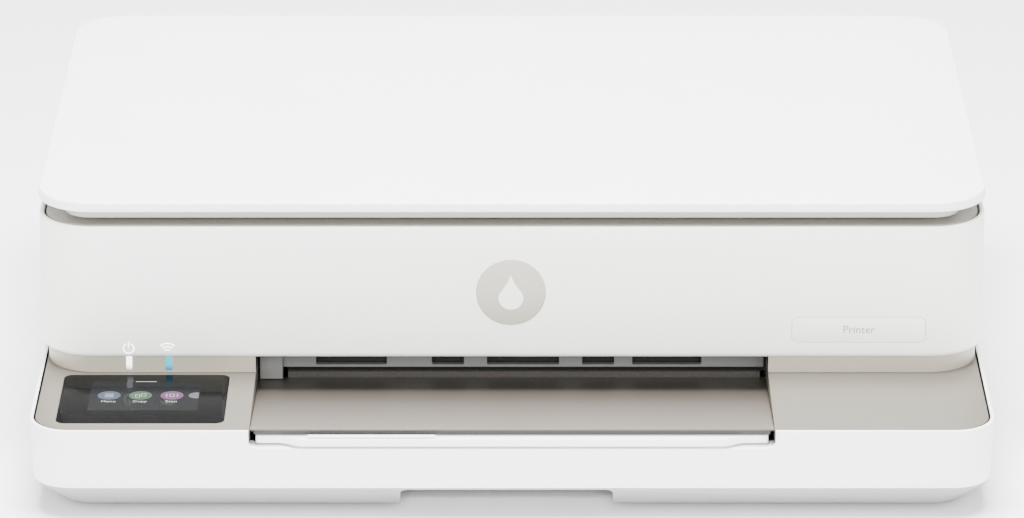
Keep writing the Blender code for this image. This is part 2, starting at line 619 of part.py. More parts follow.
# ---------------------------------------------------------------- input tray
def make_tray():
    """Input tray front with its finger notch, the paper bin and its guides."""
    front = band("tray_front", 0.0, COVER)
    cut(front, band("tray_front_hollow", BASE_WALL, floor=BASE_FLOOR))
    grip_low = NOTCH_CENTRE - NOTCH_WIDTH / 2
    grip_high = NOTCH_CENTRE + NOTCH_WIDTH / 2
    wall = 0.0025
    notch_top = FOOT_HEIGHT + NOTCH_HEIGHT
    bottom_front = FRONT + BASE_CHAMFER + BASE_DRAFT
    join(front, block("grip_body", (grip_low - wall, FRONT + BASE_DRAFT + 0.0008, notch_top - 0.004),
                      (grip_high + wall, bottom_front + NOTCH_LENGTH, notch_top + wall)))
    join(front, block("grip_base", (grip_low - wall, bottom_front - 0.002, FOOT_HEIGHT + 0.001),
                      (grip_high + wall, bottom_front + NOTCH_LENGTH, notch_top)))
    cut(front, block("grip_notch", (grip_low, FRONT - 0.01, FOOT_HEIGHT - 0.01),
                     (grip_high, bottom_front + NOTCH_LENGTH - wall, notch_top), None, 0.0035, "Y"))
    cut(front, block("extender_pocket", (-BAY_HALF - 0.0003, FRONT - 0.01, 0.0343),
                     (BAY_HALF + 0.0003, FRONT + 0.012, 0.06), None, 0.003, "Y"))
    cut(front, block("tray_front_end", (-1, SPLIT - SEAM, -1), (1, 1, 1)))

    outer = bin_half()
    back = BASE_BACK - BIN_REAR_SPACE
    start = FRONT + BASE_WALL + BASE_DRAFT + GAP
    low = FOOT_HEIGHT + BASE_FLOOR + 0.0016
    wall = BIN_WALL
    bin_start = bottom_front + NOTCH_LENGTH + GAP
    tray = block("paper_bin", (-outer, bin_start, low), (outer, back, BIN_TOP), DARK)
    cut(tray, block("bin_hollow", (-outer + wall, bin_start + wall, low + wall),
                    (outer - wall, back - wall, 1)))
    floor = low + wall + GAP
    join(tray, block("bin_lip", (-outer, start, BIN_TOP - 0.0045),
                     (outer, bin_start + 0.0005, BIN_TOP - 0.001)))
    middle = (bin_start + back) / 2
    pitch = RACK_MODULE * RACK_TEETH / 2
    inside = PAPER_WIDTH / 2 + GAP
    for side, name in ((-1, "width_guide_left"), (1, "width_guide_right")):
        rack_y = middle - side * pitch
        arm = rack(side, inside, rack_y)
        guide = outline(name, arm, "Z", floor, floor + 0.002, DARK)
        ends = sorted((side * inside, side * (inside + 0.002)))
        valley = rack_y - side * 1.2 * RACK_MODULE
        foot = sorted((valley - side * 0.0003, valley - side * (RACK_ARM - 0.0003)))
        fuse(guide, block(name + "_foot", (ends[0] - 0.0003, foot[0], floor + 0.0003),
                          (ends[1] + 0.0003, foot[1], floor + 0.004)))
        fuse(guide, block(name + "_wall", (ends[0], middle - 0.045, floor + 0.0023),
                          (ends[1], middle + 0.045, BIN_TOP - 0.0015)))
        set_origin(guide, (side * inside, middle, floor))
    wheel = outline("guide_pinion", toothed(RACK_TEETH, RACK_MODULE, (0, 0), math.pi / 2), "Z",
                    floor, floor + 0.002, DARK)
    wheel.location = (0, middle, 0)
    length_y = bin_start + 0.006
    raised = floor + 0.0023
    stop = block("length_guide", (-0.022, length_y, raised),
                 (0.022, length_y + 0.0025, BIN_TOP - 0.001), DARK)
    join(stop, block("length_foot", (-0.012, length_y, raised), (0.012, length_y + 0.028, raised + 0.0018)))
    set_origin(stop, (0, length_y, floor))


def bin_half():
    """Half width over the paper bin's walls."""
    return PAPER_WIDTH / 2 + BIN_CLEARANCE


def rack(side, inside, rack_y):
    """Plan of a width guide's arm: a toothed bar that reaches past the pinion."""
    pitch = math.pi * RACK_MODULE
    height = 0.8 * RACK_MODULE
    root = 1.2 * RACK_MODULE
    valley = rack_y - side * root
    far = valley - side * RACK_ARM
    before = int(RACK_REACH / pitch)
    count = int((inside - 0.004) / pitch) + before
    teeth = []
    for index in range(count):
        centre = side * (index - before + 0.5) * pitch
        for share, level in ((-0.27, -root), (-0.11, height), (0.11, height), (0.27, -root)):
            teeth.append((centre + side * share * pitch, rack_y + side * level))
    teeth.sort(key=lambda point: -side * point[0])
    last = teeth[-1][0] - side * 0.002
    return [(side * inside, far), (side * inside, valley), *teeth, (last, valley), (last, far)]


# ---------------------------------------------------------------- print engine
def make_engine():
    """Side frames, platen, shafts with rollers and gears, motors and boards."""
    frame_low = BIN_TOP + 0.0055
    frame_top = CARRIAGE_BOTTOM - 0.0015
    clear = 0.0003
    inside = BAY_HALF - 0.0025
    chassis = block("engine_chassis", (-inside - 0.002, EXIT_AXIS + EXIT_ROLLER_RADIUS + 0.0015,
                                       SHAFT_HEIGHT - 0.003),
                    (inside + 0.002, FEED_AXIS - FEED_ROLLER_RADIUS - 0.0015, SHAFT_HEIGHT + 0.0045), DARK)
    for side, name in ((-1, "frame_left"), (1, "frame_right")):
        ends = sorted((side * BAY_HALF - side * 0.0015, side * (BAY_HALF + 0.0005)))
        join(chassis, block(name, (ends[0], EXIT + 0.010, frame_low),
                            (ends[1], PICKUP_AXIS + 0.012, frame_top)))
        for tag, y, z in (("exit", EXIT_AXIS, SHAFT_HEIGHT), ("feed", FEED_AXIS, SHAFT_HEIGHT),
                          ("pickup", PICKUP_AXIS, SHAFT_HEIGHT - PICKUP_DROP)):
            hole = drum("%s_%s_bore" % (name, tag), (ends[0] - 0.002, y, z), (ends[1] + 0.002, y, z),
                        SHAFT_RADIUS + clear)
            cut(chassis, hole)

    shaft_end = BAY_HALF + 0.003
    for name, y, z, radius, half in (
            ("feed_roller", FEED_AXIS, SHAFT_HEIGHT, FEED_ROLLER_RADIUS, inside - 0.002),
            ("exit_roller", EXIT_AXIS, SHAFT_HEIGHT, EXIT_ROLLER_RADIUS, inside - 0.004),
            ("pickup_roller", PICKUP_AXIS, SHAFT_HEIGHT - PICKUP_DROP, PICKUP_ROLLER_RADIUS, 0.022)):
        rod = drum(name, (GEAR_X - 0.004, y, z), (shaft_end, y, z), SHAFT_RADIUS - 0.0001, RUBBER)
        join(rod, drum(name + "_body", (-half, y, z), (half, y, z), radius))
        set_origin(rod, (0, y, z))

    low, high = GEAR_X, GEAR_X + GEAR_WIDTH
    down = math.atan2(-PICKUP_DROP, PICKUP_AXIS - FEED_AXIS)
    feed_phase = 0.0
    idler_phase = meshing_phase(feed_phase, FEED_TEETH, math.pi, IDLER_TEETH)
    exit_phase = meshing_phase(idler_phase, IDLER_TEETH, math.pi, FEED_TEETH)
    pinion_phase = meshing_phase(exit_phase, FEED_TEETH, math.pi, PINION_TEETH)
    pickup_phase = meshing_phase(feed_phase, FEED_TEETH, down, FEED_TEETH)
    for name, teeth, y, z, phase, bore in (
            ("feed_gear", FEED_TEETH, FEED_AXIS, SHAFT_HEIGHT, feed_phase, SHAFT_RADIUS),
            ("idler_gear", IDLER_TEETH, IDLER_AXIS, SHAFT_HEIGHT, idler_phase, 0.0025),
            ("exit_gear", FEED_TEETH, EXIT_AXIS, SHAFT_HEIGHT, exit_phase, SHAFT_RADIUS),
            ("pickup_gear", FEED_TEETH, PICKUP_AXIS, SHAFT_HEIGHT - PICKUP_DROP, pickup_phase,
             SHAFT_RADIUS),
            ("motor_gear", PINION_TEETH, MOTOR_AXIS, SHAFT_HEIGHT, pinion_phase, 0.0015)):
        hole = [((bore + SHAFT_FIT) * math.cos(a * math.pi / 8),
                 (bore + SHAFT_FIT) * math.sin(a * math.pi / 8)) for a in range(16)]
        wheel = outline(name, toothed(teeth, GEAR_MODULE, (0, 0), phase), "X", low, high, GEARS, [hole])
        wheel.location = (0, y, z)
    motor = drum("feed_motor", (high + 0.002, MOTOR_AXIS, SHAFT_HEIGHT),
                 (high + 0.030, MOTOR_AXIS, SHAFT_HEIGHT), 0.013, STEEL)
    join(motor, drum("feed_motor_shaft", (low - 0.001, MOTOR_AXIS, SHAFT_HEIGHT),
                     (high + 0.004, MOTOR_AXIS, SHAFT_HEIGHT), 0.0014))

    board_left = GEAR_X + GEAR_WIDTH + 0.008
    block("main_board", (board_left, SPLIT + 0.020, 0.0200),
          (-BAY_HALF - 0.010, IDLER_AXIS - 0.012, 0.0216), BOARD)
    block("power_supply", (BAY_HALF + 0.008, FEED_AXIS + 0.045, FOOT_HEIGHT + BASE_FLOOR + 0.002),
          (BAY_HALF + 0.074, BASE_BACK - 0.014, 0.0400), GREY, 0.002)
    station = block("service_station", (BAY_HALF + 0.005, EXIT_AXIS - 0.002, 0.0280),
                    (carriage_park() + CARRIAGE_WIDTH / 2, FEED_AXIS - 0.012, CARRIAGE_BOTTOM - 0.003), DARK)
    for index, x in enumerate(cartridge_centres()):
        cut(station, block("cap_hollow_%d" % index, (x - 0.010, EXIT_AXIS + 0.010, 0.0400),
                           (x + 0.010, EXIT_AXIS + 0.050, 0.06), None, 0.003))


def carriage_park():
    """Middle of the carriage in its parked place at the right-hand end."""
    return INNER_HALF - 0.0195 - CARRIAGE_WIDTH / 2


def cartridge_centres():
    """Places along X of the two cartridges when the carriage is parked."""
    return [carriage_park() + side * CARRIAGE_WIDTH / 4 for side in (-1, 1)]


def make_carriage():
    """Rail, belt and pulleys, encoder strip, and the carriage with its cartridges."""
    back = FEED_AXIS - 0.003
    front = back - 0.062
    left = -INNER_HALF + 0.062
    right = INNER_HALF - 0.010
    rail_y = back + 0.0065
    rail = [(rail_y, 0.0525), (rail_y, 0.0555), (rail_y + 0.009, 0.0555), (rail_y + 0.009, 0.0805),
            (rail_y, 0.0805), (rail_y, 0.0835), (rail_y + 0.0105, 0.0835), (rail_y + 0.0105, 0.0525)]
    track = outline("carriage_rail", rail, "X", left, right, STEEL)
    block("encoder_strip", (left, back + 0.0052, 0.0665), (right, back + 0.0055, 0.0725), CLEAR)

    motor_x = -INNER_HALF + 0.037
    idler_x = INNER_HALF - 0.0105
    belt_y = back + 0.0006
    reach = PULLEY_RADIUS + GAP
    loop_out = racetrack(motor_x, idler_x, reach + BELT_THICKNESS)
    loop_in = racetrack(motor_x, idler_x, reach)
    outline("drive_belt", loop_out, "Y", belt_y, belt_y + BELT_WIDTH, RUBBER, [loop_in])
    for name, x in (("motor_pulley", motor_x), ("idler_pulley", idler_x)):
        wheel = outline(name, toothed(14, 2 * (PULLEY_RADIUS - 0.0005) / 14 / 1.11, (0, 0), 0.0), "Y",
                        belt_y, belt_y + BELT_WIDTH, GEARS, [[(0.0017 * math.cos(a * math.pi / 6),
                                                               0.0017 * math.sin(a * math.pi / 6))
                                                              for a in range(12)]])
        wheel.location = (x, 0, BELT_HEIGHT)
    motor = drum("carriage_motor", (motor_x, belt_y + BELT_WIDTH + 0.001, BELT_HEIGHT),
                 (motor_x, belt_y + BELT_WIDTH + 0.031, BELT_HEIGHT), 0.0135, STEEL)
    join(motor, drum("carriage_motor_shaft", (motor_x, belt_y - 0.0008, BELT_HEIGHT),
                     (motor_x, belt_y + BELT_WIDTH + 0.003, BELT_HEIGHT), 0.0015))
    join(track, drum("idler_axle", (idler_x, belt_y - 0.0008, BELT_HEIGHT),
                     (idler_x, rail_y + 0.0095, BELT_HEIGHT), 0.0015))

    middle = carriage_park()
    half = CARRIAGE_WIDTH / 2
    body = block("print_carriage", (middle - half, front, CARRIAGE_BOTTOM),
                 (middle + half, back, CARRIAGE_TOP), DARK, 0.003)
    wall = CARRIAGE_WALL
    slip = 0.0004
    for index, x in enumerate(cartridge_centres()):
        side = half / 2 - wall
        low = (x - side, front + wall, CARRIAGE_BOTTOM + wall)
        high = (x + side, back - 0.006, CARRIAGE_TOP + 0.02)
        cut(body, block("pocket_%d" % index, low, high, None, 0.0015))
        cut(body, block("nozzle_window_%d" % index, (x - side + 0.006, front + 0.014, 0.04),
                        (x + side - 0.006, back - 0.020, 0.06)))
        name = ("cartridge_black", "cartridge_colour")[index]
        cartridge = block(name, (low[0] + slip, low[1] + slip, low[2] + slip),
                          (high[0] - slip, high[1] - slip, CARRIAGE_TOP - 0.0045), DARK, 0.0015)
        join(cartridge, block(name + "_head", (x - side + 0.0065, front + 0.0145, CARRIAGE_BOTTOM + 0.0008),
                              (x + side - 0.0065, back - 0.0205, CARRIAGE_TOP - 0.010)))
        latch_name = ("latch_black", "latch_colour")[index]
        latch = block(latch_name, (x - side + 0.001, front + 0.016, CARRIAGE_TOP + GAP),
                      (x + side - 0.001, back - 0.008, CARRIAGE_TOP + 0.0021), GREY, 0.0012)
        set_origin(latch, (x, back - 0.008, CARRIAGE_TOP + 0.0012))
    join(body, block("belt_clip", (middle - 0.006, back - 0.003, BELT_HEIGHT - 0.0022),
                     (middle + 0.006, back + 0.0044, BELT_HEIGHT + 0.0022)))


def racetrack(left, right, radius, steps=8):
    """Outline of a belt round two pulleys, in the XZ plane."""
    points = []
    for centre, start in ((right, -0.5), (left, 0.5)):
        for step in range(steps + 1):
            angle = (start + step / steps) * math.pi
            points.append((centre + radius * math.cos(angle), BELT_HEIGHT + radius * math.sin(angle)))
    return points


# ---------------------------------------------------------------- scanner unit and lid
def upper_ring(z, inset):
    """One section of the scanner unit at an inset from its outer face."""
    return (z, HALF - inset, PANEL + inset, UPPER_BACK - inset, UPPER_CORNER - inset)


def make_scanner():
    """Upper housing, bezel, glass, bed, scan bar with its rod, badge and nameplate."""
    skirt = loft("upper_housing", [upper_ring(UPPER_BOTTOM, 0.0020),
                                   upper_ring(UPPER_BOTTOM + 0.0008, 0.0007),
                                   upper_ring(UPPER_BOTTOM + 0.0026, 0.0),
                                   upper_ring(UPPER_TOP - 0.0008, 0.0002),
                                   upper_ring(UPPER_TOP, 0.0010)], PANEL_WHITE, 7)
    cut(skirt, loft("skirt_hollow", [upper_ring(UPPER_BOTTOM - 0.005, UPPER_WALL),
                                     upper_ring(UPPER_TOP + 0.005, UPPER_WALL)], None, 7))
    wall_bottom = SCAN_HINGE_HEIGHT + 0.0015
    cut_half = SCAN_HINGE_X + HINGE_NOTCH / 2 + 0.009
    cut(skirt, block("skirt_rear_cut", (-cut_half, UPPER_BACK - 0.010, -1), (cut_half, 1, wall_bottom)))
    for side in (-1, 1):
        tag = "left" if side < 0 else "right"
        x = side * SCAN_HINGE_X
        cut(skirt, block("hinge_notch_" + tag, (x - 0.0055, UPPER_BACK - 0.012, 0.04),
                         (x + 0.0055, 1, SCAN_HINGE_HEIGHT + 0.006)))
        for part, offset in (("in", -0.008), ("out", 0.008)):
            ear = block("ear_%s_%s" % (tag, part), (x + offset - 0.0025, SCAN_HINGE_Y - 0.0035,
                                                    SCAN_HINGE_HEIGHT - 0.0035),
                        (x + offset + 0.0025, UPPER_BACK - 0.0002, SCAN_HINGE_HEIGHT + 0.008))
            join(skirt, ear)
        cut(skirt, drum("ear_bore_" + tag, (x - 0.013, SCAN_HINGE_Y, SCAN_HINGE_HEIGHT),
                        (x + 0.013, SCAN_HINGE_Y, SCAN_HINGE_HEIGHT), 0.0023))
    badge_x = -0.0005
    radius = BADGE_DIAMETER / 2
    cut(skirt, drum("badge_recess", (badge_x, PANEL - 0.005, BADGE_HEIGHT),
                    (badge_x, PANEL + BADGE_THICKNESS + GAP, BADGE_HEIGHT), radius + GAP, None, 40))
    drum("badge", (badge_x, PANEL - 0.0001, BADGE_HEIGHT), (badge_x, PANEL + BADGE_THICKNESS, BADGE_HEIGHT),
         radius, BADGE, 40)
    right = HALF - PLATE_MARGIN
    low = (right - PLATE_WIDTH, PANEL + GAP, PLATE_CENTRE_HEIGHT - PLATE_HEIGHT / 2)
    high = (right, PANEL + GAP + PLATE_THICKNESS, PLATE_CENTRE_HEIGHT + PLATE_HEIGHT / 2)
    cut(skirt, block("plate_recess", (low[0] - GAP, PANEL - 0.005, low[2] - GAP),
                     (high[0] + GAP, high[1] + GAP, high[2] + GAP), None, 0.0030, "Y"))
    block("nameplate", low, high, PANEL_WHITE, 0.0027, "Y")

    step = UPPER_WALL + BEZEL_STEP
    bezel = loft("scanner_bezel", [upper_ring(BEZEL_TOP - BEZEL_THICKNESS, step),
                                   upper_ring(BEZEL_TOP - 0.0006, step),
                                   upper_ring(BEZEL_TOP, step + 0.0006)], BEIGE_GREY, 6)
    reach_x, reach_y = SCAN_WIDTH / 2, SCAN_LENGTH / 2
    cut(bezel, block("scan_opening", (-reach_x, SCAN_CENTRE - reach_y, 0.10),
                     (reach_x, SCAN_CENTRE + reach_y, 0.13)))
    for side, tag in ((-1, "left"), (1, "right")):
        x = side * LID_HINGE_X
        join(bezel, block("lid_post_" + tag, (x - 0.0033, LID_HINGE_Y - 0.0021, BEZEL_TOP - 0.001),
                          (x + 0.0033, LID_HINGE_Y - 0.0008, LID_HINGE_HEIGHT)),
             drum("lid_barrel_" + tag, (x - 0.0036, LID_HINGE_Y, LID_HINGE_HEIGHT),
                  (x + 0.0036, LID_HINGE_Y, LID_HINGE_HEIGHT), 0.0021),
             drum("lid_pin_" + tag, (x - 0.0078, LID_HINGE_Y, LID_HINGE_HEIGHT),
                  (x + 0.0078, LID_HINGE_Y, LID_HINGE_HEIGHT), 0.0011))
    top = BEZEL_TOP - BEZEL_THICKNESS - GAP
    block("scan_glass", (-reach_x - 0.005, SCAN_CENTRE - reach_y - 0.005, top - 0.0024),
          (reach_x + 0.005, SCAN_CENTRE + reach_y + 0.005, top), CLEAR)
    bed_inset = UPPER_WALL + 0.0012
    bed = loft("scanner_bed", [upper_ring(BED_FLOOR, bed_inset), upper_ring(top, bed_inset)], DARK, 6)
    cut(bed, loft("bed_hollow", [upper_ring(BED_FLOOR + 0.002, bed_inset + 0.002),
                                 upper_ring(top + 0.005, bed_inset + 0.002)], None, 6))
    rod_z = BED_FLOOR + 0.0070
    end = HALF - 0.016
    drum("scan_rod", (-end, SCAN_CENTRE, rod_z), (end, SCAN_CENTRE, rod_z), 0.0025, STEEL)
    rest_x = -reach_x + 0.002
    bar = block("scan_bar", (rest_x - 0.009, SCAN_CENTRE - reach_y - 0.002, BED_FLOOR + 0.0032),
                (rest_x + 0.009, SCAN_CENTRE + reach_y + 0.002, top - 0.0034), DARK, 0.002, "Y")
    cut(bar, drum("bar_bore", (rest_x - 0.012, SCAN_CENTRE, rod_z), (rest_x + 0.012, SCAN_CENTRE, rod_z),
                  0.0028))
    set_origin(bar, (rest_x, SCAN_CENTRE, rod_z))


def lid_ring(z, inset):
    """One section of the lid at an inset from its outer edge."""
    return (z, HALF - inset, LID_FRONT + inset, LID_BACK - inset,
            max(UPPER_CORNER - inset, 0.004))


def liner_ring(z, inset):
    """One section of the lid's recessed liner."""
    setback = 0.0032 + inset
    return (z, HALF - LINER_SIDE_STEP - inset, LID_FRONT + setback, LID_BACK - setback,
            LINER_CORNER - inset)


def make_lid():
    """Lid shell, recessed liner with hinge ears, white pad and the hinge posts."""
    crown = HEIGHT - LID_EDGE_TOP
    shell = loft("lid_shell", [lid_ring(LID_LIP_BOTTOM, 0.0006), lid_ring(LID_LIP_BOTTOM + 0.0010, 0.0),
                               lid_ring(LID_EDGE_TOP - 0.0014, 0.0002),
                               lid_ring(LID_EDGE_TOP - 0.0004, 0.0010),
                               lid_ring(LID_EDGE_TOP, 0.0026), lid_ring(LID_EDGE_TOP + crown * 0.6, 0.010),
                               lid_ring(HEIGHT, 0.028)], COVER, 7)
    hollow = [lid_ring(LINER_BOTTOM - 0.01, LID_WALL), lid_ring(LID_EDGE_TOP - 0.0018, LID_WALL)]
    cut(shell, loft("lid_hollow", hollow, None, 7))
    liner = loft("lid_liner", [liner_ring(LINER_BOTTOM, 0.0010), liner_ring(LINER_BOTTOM + 0.0030, 0.0),
                               liner_ring(LID_EDGE_TOP - 0.0023, 0.0)], GREY, 7)
    for side in (-1, 1):
        tag = "left" if side < 0 else "right"
        x = side * LID_HINGE_X
        ear = block("lid_ear_" + tag, (x - 0.0095, LID_HINGE_Y - 0.0030, LINER_BOTTOM),
                    (x + 0.0095, LID_BACK - 0.0008, LID_LIP_BOTTOM - 0.0003))
        join(liner, ear)
        slot = block("lid_slot_" + tag, (x - 0.0045, LID_HINGE_Y - 0.0032, 0.10),
                     (x + 0.0045, 1, LID_HINGE_HEIGHT + 0.0027))
        cut(liner, slot)
        cut(liner, drum("lid_bore_" + tag, (x - 0.0088, LID_HINGE_Y, LID_HINGE_HEIGHT),
                        (x + 0.0088, LID_HINGE_Y, LID_HINGE_HEIGHT), 0.0014))
        cut(shell, slot)
    reach_x, reach_y = SCAN_WIDTH / 2 - 0.002, SCAN_LENGTH / 2 - 0.002
    block("lid_pad", (-reach_x, SCAN_CENTRE - reach_y, BEZEL_TOP - BEZEL_THICKNESS + 0.0003),
          (reach_x, SCAN_CENTRE + reach_y, LINER_BOTTOM - GAP), PALE, 0.003)


make_base()
make_rear()
make_deck()
make_controls()
make_output()
make_tray()
make_engine()
make_carriage()
make_scanner()
make_lid()
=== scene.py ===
"""Looks of the inkjet printer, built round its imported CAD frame.

Each sub-assembly is a class whose methods build the finished covers and dress the CAD
nodes that stay. Places and sizes come from the frame; what is added here are the fine
edges, the printed marks, the repeated details and every finish.
"""

from __future__ import annotations

import json
import logging
import math
from dataclasses import dataclass, field
from enum import Enum
from typing import Iterable, Sequence

import bmesh
import bpy
from mathutils import Matrix, Vector

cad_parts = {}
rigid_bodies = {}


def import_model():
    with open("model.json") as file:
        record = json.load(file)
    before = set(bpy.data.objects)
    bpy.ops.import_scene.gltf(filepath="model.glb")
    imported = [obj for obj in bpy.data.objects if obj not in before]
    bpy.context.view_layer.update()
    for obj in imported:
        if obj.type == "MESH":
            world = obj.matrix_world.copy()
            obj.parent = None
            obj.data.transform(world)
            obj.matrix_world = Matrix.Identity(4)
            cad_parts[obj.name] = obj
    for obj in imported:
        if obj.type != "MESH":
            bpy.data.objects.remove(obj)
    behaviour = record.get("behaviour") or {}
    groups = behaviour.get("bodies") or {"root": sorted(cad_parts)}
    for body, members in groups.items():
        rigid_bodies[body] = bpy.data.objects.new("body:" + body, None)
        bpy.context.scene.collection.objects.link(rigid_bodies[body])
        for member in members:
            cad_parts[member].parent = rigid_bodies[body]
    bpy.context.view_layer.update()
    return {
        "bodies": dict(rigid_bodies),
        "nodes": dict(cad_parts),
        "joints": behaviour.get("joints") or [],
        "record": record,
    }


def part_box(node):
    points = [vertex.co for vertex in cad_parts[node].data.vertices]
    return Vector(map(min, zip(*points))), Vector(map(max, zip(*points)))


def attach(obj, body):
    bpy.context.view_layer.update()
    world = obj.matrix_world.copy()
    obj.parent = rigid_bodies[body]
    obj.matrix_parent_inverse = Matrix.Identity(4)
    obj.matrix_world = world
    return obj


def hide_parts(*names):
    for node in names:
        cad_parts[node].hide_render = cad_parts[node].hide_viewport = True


LOG = logging.getLogger("printer")
GAP = 0.0003
BASE_CORNER = 0.019
UPPER_CORNER = 0.026
BASE_CHAMFER = 0.011
BASE_DRAFT = 0.00104
BASE_FOOT_CORNER = 0.015
CORNER_STEPS = 14

Point = tuple[float, float, float]
Pair = tuple[float, float]


class Axis(Enum):
    """A row axis, with its index."""

    X = 0
    Y = 1
    Z = 2


class Layout(Enum):
    """How a repeated piece is laid out."""

    LINE = "line"
    RING = "ring"
    PATH = "path"


# ---------------------------------------------------------------- shader maths
class Signal:
    """A shader value that builds Math nodes from Python operators."""

    def __init__(self, shader: "Shader", socket: bpy.types.NodeSocket) -> None:
        """Wrap one output socket."""
        self.shader = shader
        self.socket = socket

    def _math(self, operation: str, other: object, swap: bool = False) -> "Signal":
        """Add a Math node.

        Args:
            operation: The Math node's operation.
            other: A number or another signal.
            swap: Whether the other value comes first.

        Returns:
            The node's value.
        """
        first, second = (other, self) if swap else (self, other)
        node = self.shader.node("ShaderNodeMath", {"operation": operation}, {0: first, 1: second})
        return Signal(self.shader, node.outputs[0])

    def __add__(self, other: object) -> "Signal":
        """Sum."""
        return self._math("ADD", other)

    __radd__ = __add__

    def __sub__(self, other: object) -> "Signal":
        """Difference."""
        return self._math("SUBTRACT", other)

    def __rsub__(self, other: object) -> "Signal":
        """Difference from a number."""
        return self._math("SUBTRACT", other, True)

    def __mul__(self, other: object) -> "Signal":
        """Product."""
        return self._math("MULTIPLY", other)

    __rmul__ = __mul__

    def above(self, other: object) -> "Signal":
        """One where this is greater than the other value."""
        return self._math("GREATER_THAN", other)

    def least(self, other: object) -> "Signal":
        """The greater of this and the other value."""
        return self._math("MAXIMUM", other)

    def most(self, other: object) -> "Signal":
        """The smaller of this and the other value."""
        return self._math("MINIMUM", other)


class Shader:
    """One procedural material on Object coordinates."""

    def __init__(self, name: str) -> None:
        """Start a material with an empty tree and one Principled shader."""
        self.material = bpy.data.materials.new(name)
        self.material.use_nodes = True
        self.tree = self.material.node_tree
        self.tree.nodes.clear()
        self.surface = self.node("ShaderNodeBsdfPrincipled", {}, {})
        self.node("ShaderNodeOutputMaterial", {}, {"Surface": self.surface.outputs[0]})
        self.place = self.node("ShaderNodeTexCoord", {}, {}).outputs["Object"]

    def node(self, kind: str, settings: dict, values: dict) -> bpy.types.Node:
        """Add a node.

        Args:
            kind: The node's type.
            settings: Its own settings, set before its sockets.
            values: Socket names or numbers, with a value, a socket or a signal each.

        Returns:
            The node.
        """
        made = self.tree.nodes.new(kind)
        for key, value in settings.items():
            setattr(made, key, value)
        for key, value in values.items():
            if isinstance(value, Signal):
                value = value.socket
            if isinstance(value, bpy.types.NodeSocket):
                self.tree.links.new(value, made.inputs[key])
            else:
                made.inputs[key].default_value = value
        return made

    def noise(self, scale: float, detail: float = 2.0, stretch: Point = (1, 1, 1)) -> Signal:
        """Noise from 0 to 1.

        Args:
            scale: Cells per metre.
            detail: Octaves.
            stretch: Scale of each axis first.

        Returns:
            The noise.
        """
        place = self.place
        if stretch != (1, 1, 1):
            place = self.node("ShaderNodeMapping", {}, {"Vector": place, "Scale": stretch}).outputs[0]
        made = self.node("ShaderNodeTexNoise", {}, {"Vector": place, "Scale": scale, "Detail": detail})
        return Signal(self, made.outputs[0])

    def cells(self, scale: float) -> Signal:
        """Distance to the nearest of many scattered points, in cells."""
        made = self.node("ShaderNodeTexVoronoi", {}, {"Vector": self.place, "Scale": scale})
        return Signal(self, made.outputs["Distance"])

    def along(self, axis: Axis) -> Signal:
        """The place along one axis, in metres."""
        made = self.node("ShaderNodeSeparateXYZ", {}, {0: self.place})
        return Signal(self, made.outputs[axis.value])

    def blend(self, factor: Signal, first: object, second: object) -> bpy.types.NodeSocket:
        """Mix two colours by a factor."""
        values = {0: factor}
        for index, colour in ((6, first), (7, second)):
            values[index] = (*colour, 1.0) if isinstance(colour, tuple) else colour
        made = self.node("ShaderNodeMix", {"data_type": "RGBA"}, values)
        return made.outputs[2]

    def dress(self, **values: object) -> None:
        """Set or link sockets of the surface, underscores standing for spaces."""
        for key, value in values.items():
            name = key.replace("_", " ")
            if isinstance(value, Signal):
                value = value.socket
            if isinstance(value, bpy.types.NodeSocket):
                self.tree.links.new(value, self.surface.inputs[name])
            elif isinstance(value, tuple) and len(value) == 3:
                self.surface.inputs[name].default_value = (*value, 1.0)
            else:
                self.surface.inputs[name].default_value = value

    def bump(self, height: Signal, distance: float, strength: float = 1.0) -> None:
        """Feed a height to the surface's normal through a Bump node."""
        made = self.node("ShaderNodeBump", {}, {"Height": height, "Distance": distance,
                                                "Strength": strength})
        self.tree.links.new(made.outputs[0], self.surface.inputs["Normal"])


# ---------------------------------------------------------------- finishes
@dataclass(frozen=True)
class MouldedPlastic:
    """Moulded plastic with a spark-eroded grain and faint mottling."""

    name: str
    colour: Point
    roughness: float = 0.46
    grain: float = 1500.0
    depth: float = 0.00003
    mottle: float = 0.03
    coat: float = 0.0

    def make(self) -> bpy.types.Material:
        """Build the material."""
        shader = Shader(self.name)
        fine = shader.noise(self.grain, 2.0)
        broad = shader.noise(22.0, 3.0)
        dark = tuple(c * (1 - 2 * self.mottle) for c in self.colour)
        light = tuple(min(1.0, c * (1 + self.mottle)) for c in self.colour)
        spots = (fine - 0.5) * 1.1 + (broad - 0.5) * 0.5 + 0.5
        shader.dress(Base_Color=shader.blend(spots.least(0.0).most(1.0), dark, light),
                     Roughness=fine * 0.10 + broad * 0.06 + (self.roughness - 0.08),
                     Coat_Weight=self.coat, Coat_Roughness=0.25, IOR=1.5)
        shader.bump(fine * 0.7 + shader.noise(self.grain * 0.35) * 0.5, self.depth)
        return shader.material


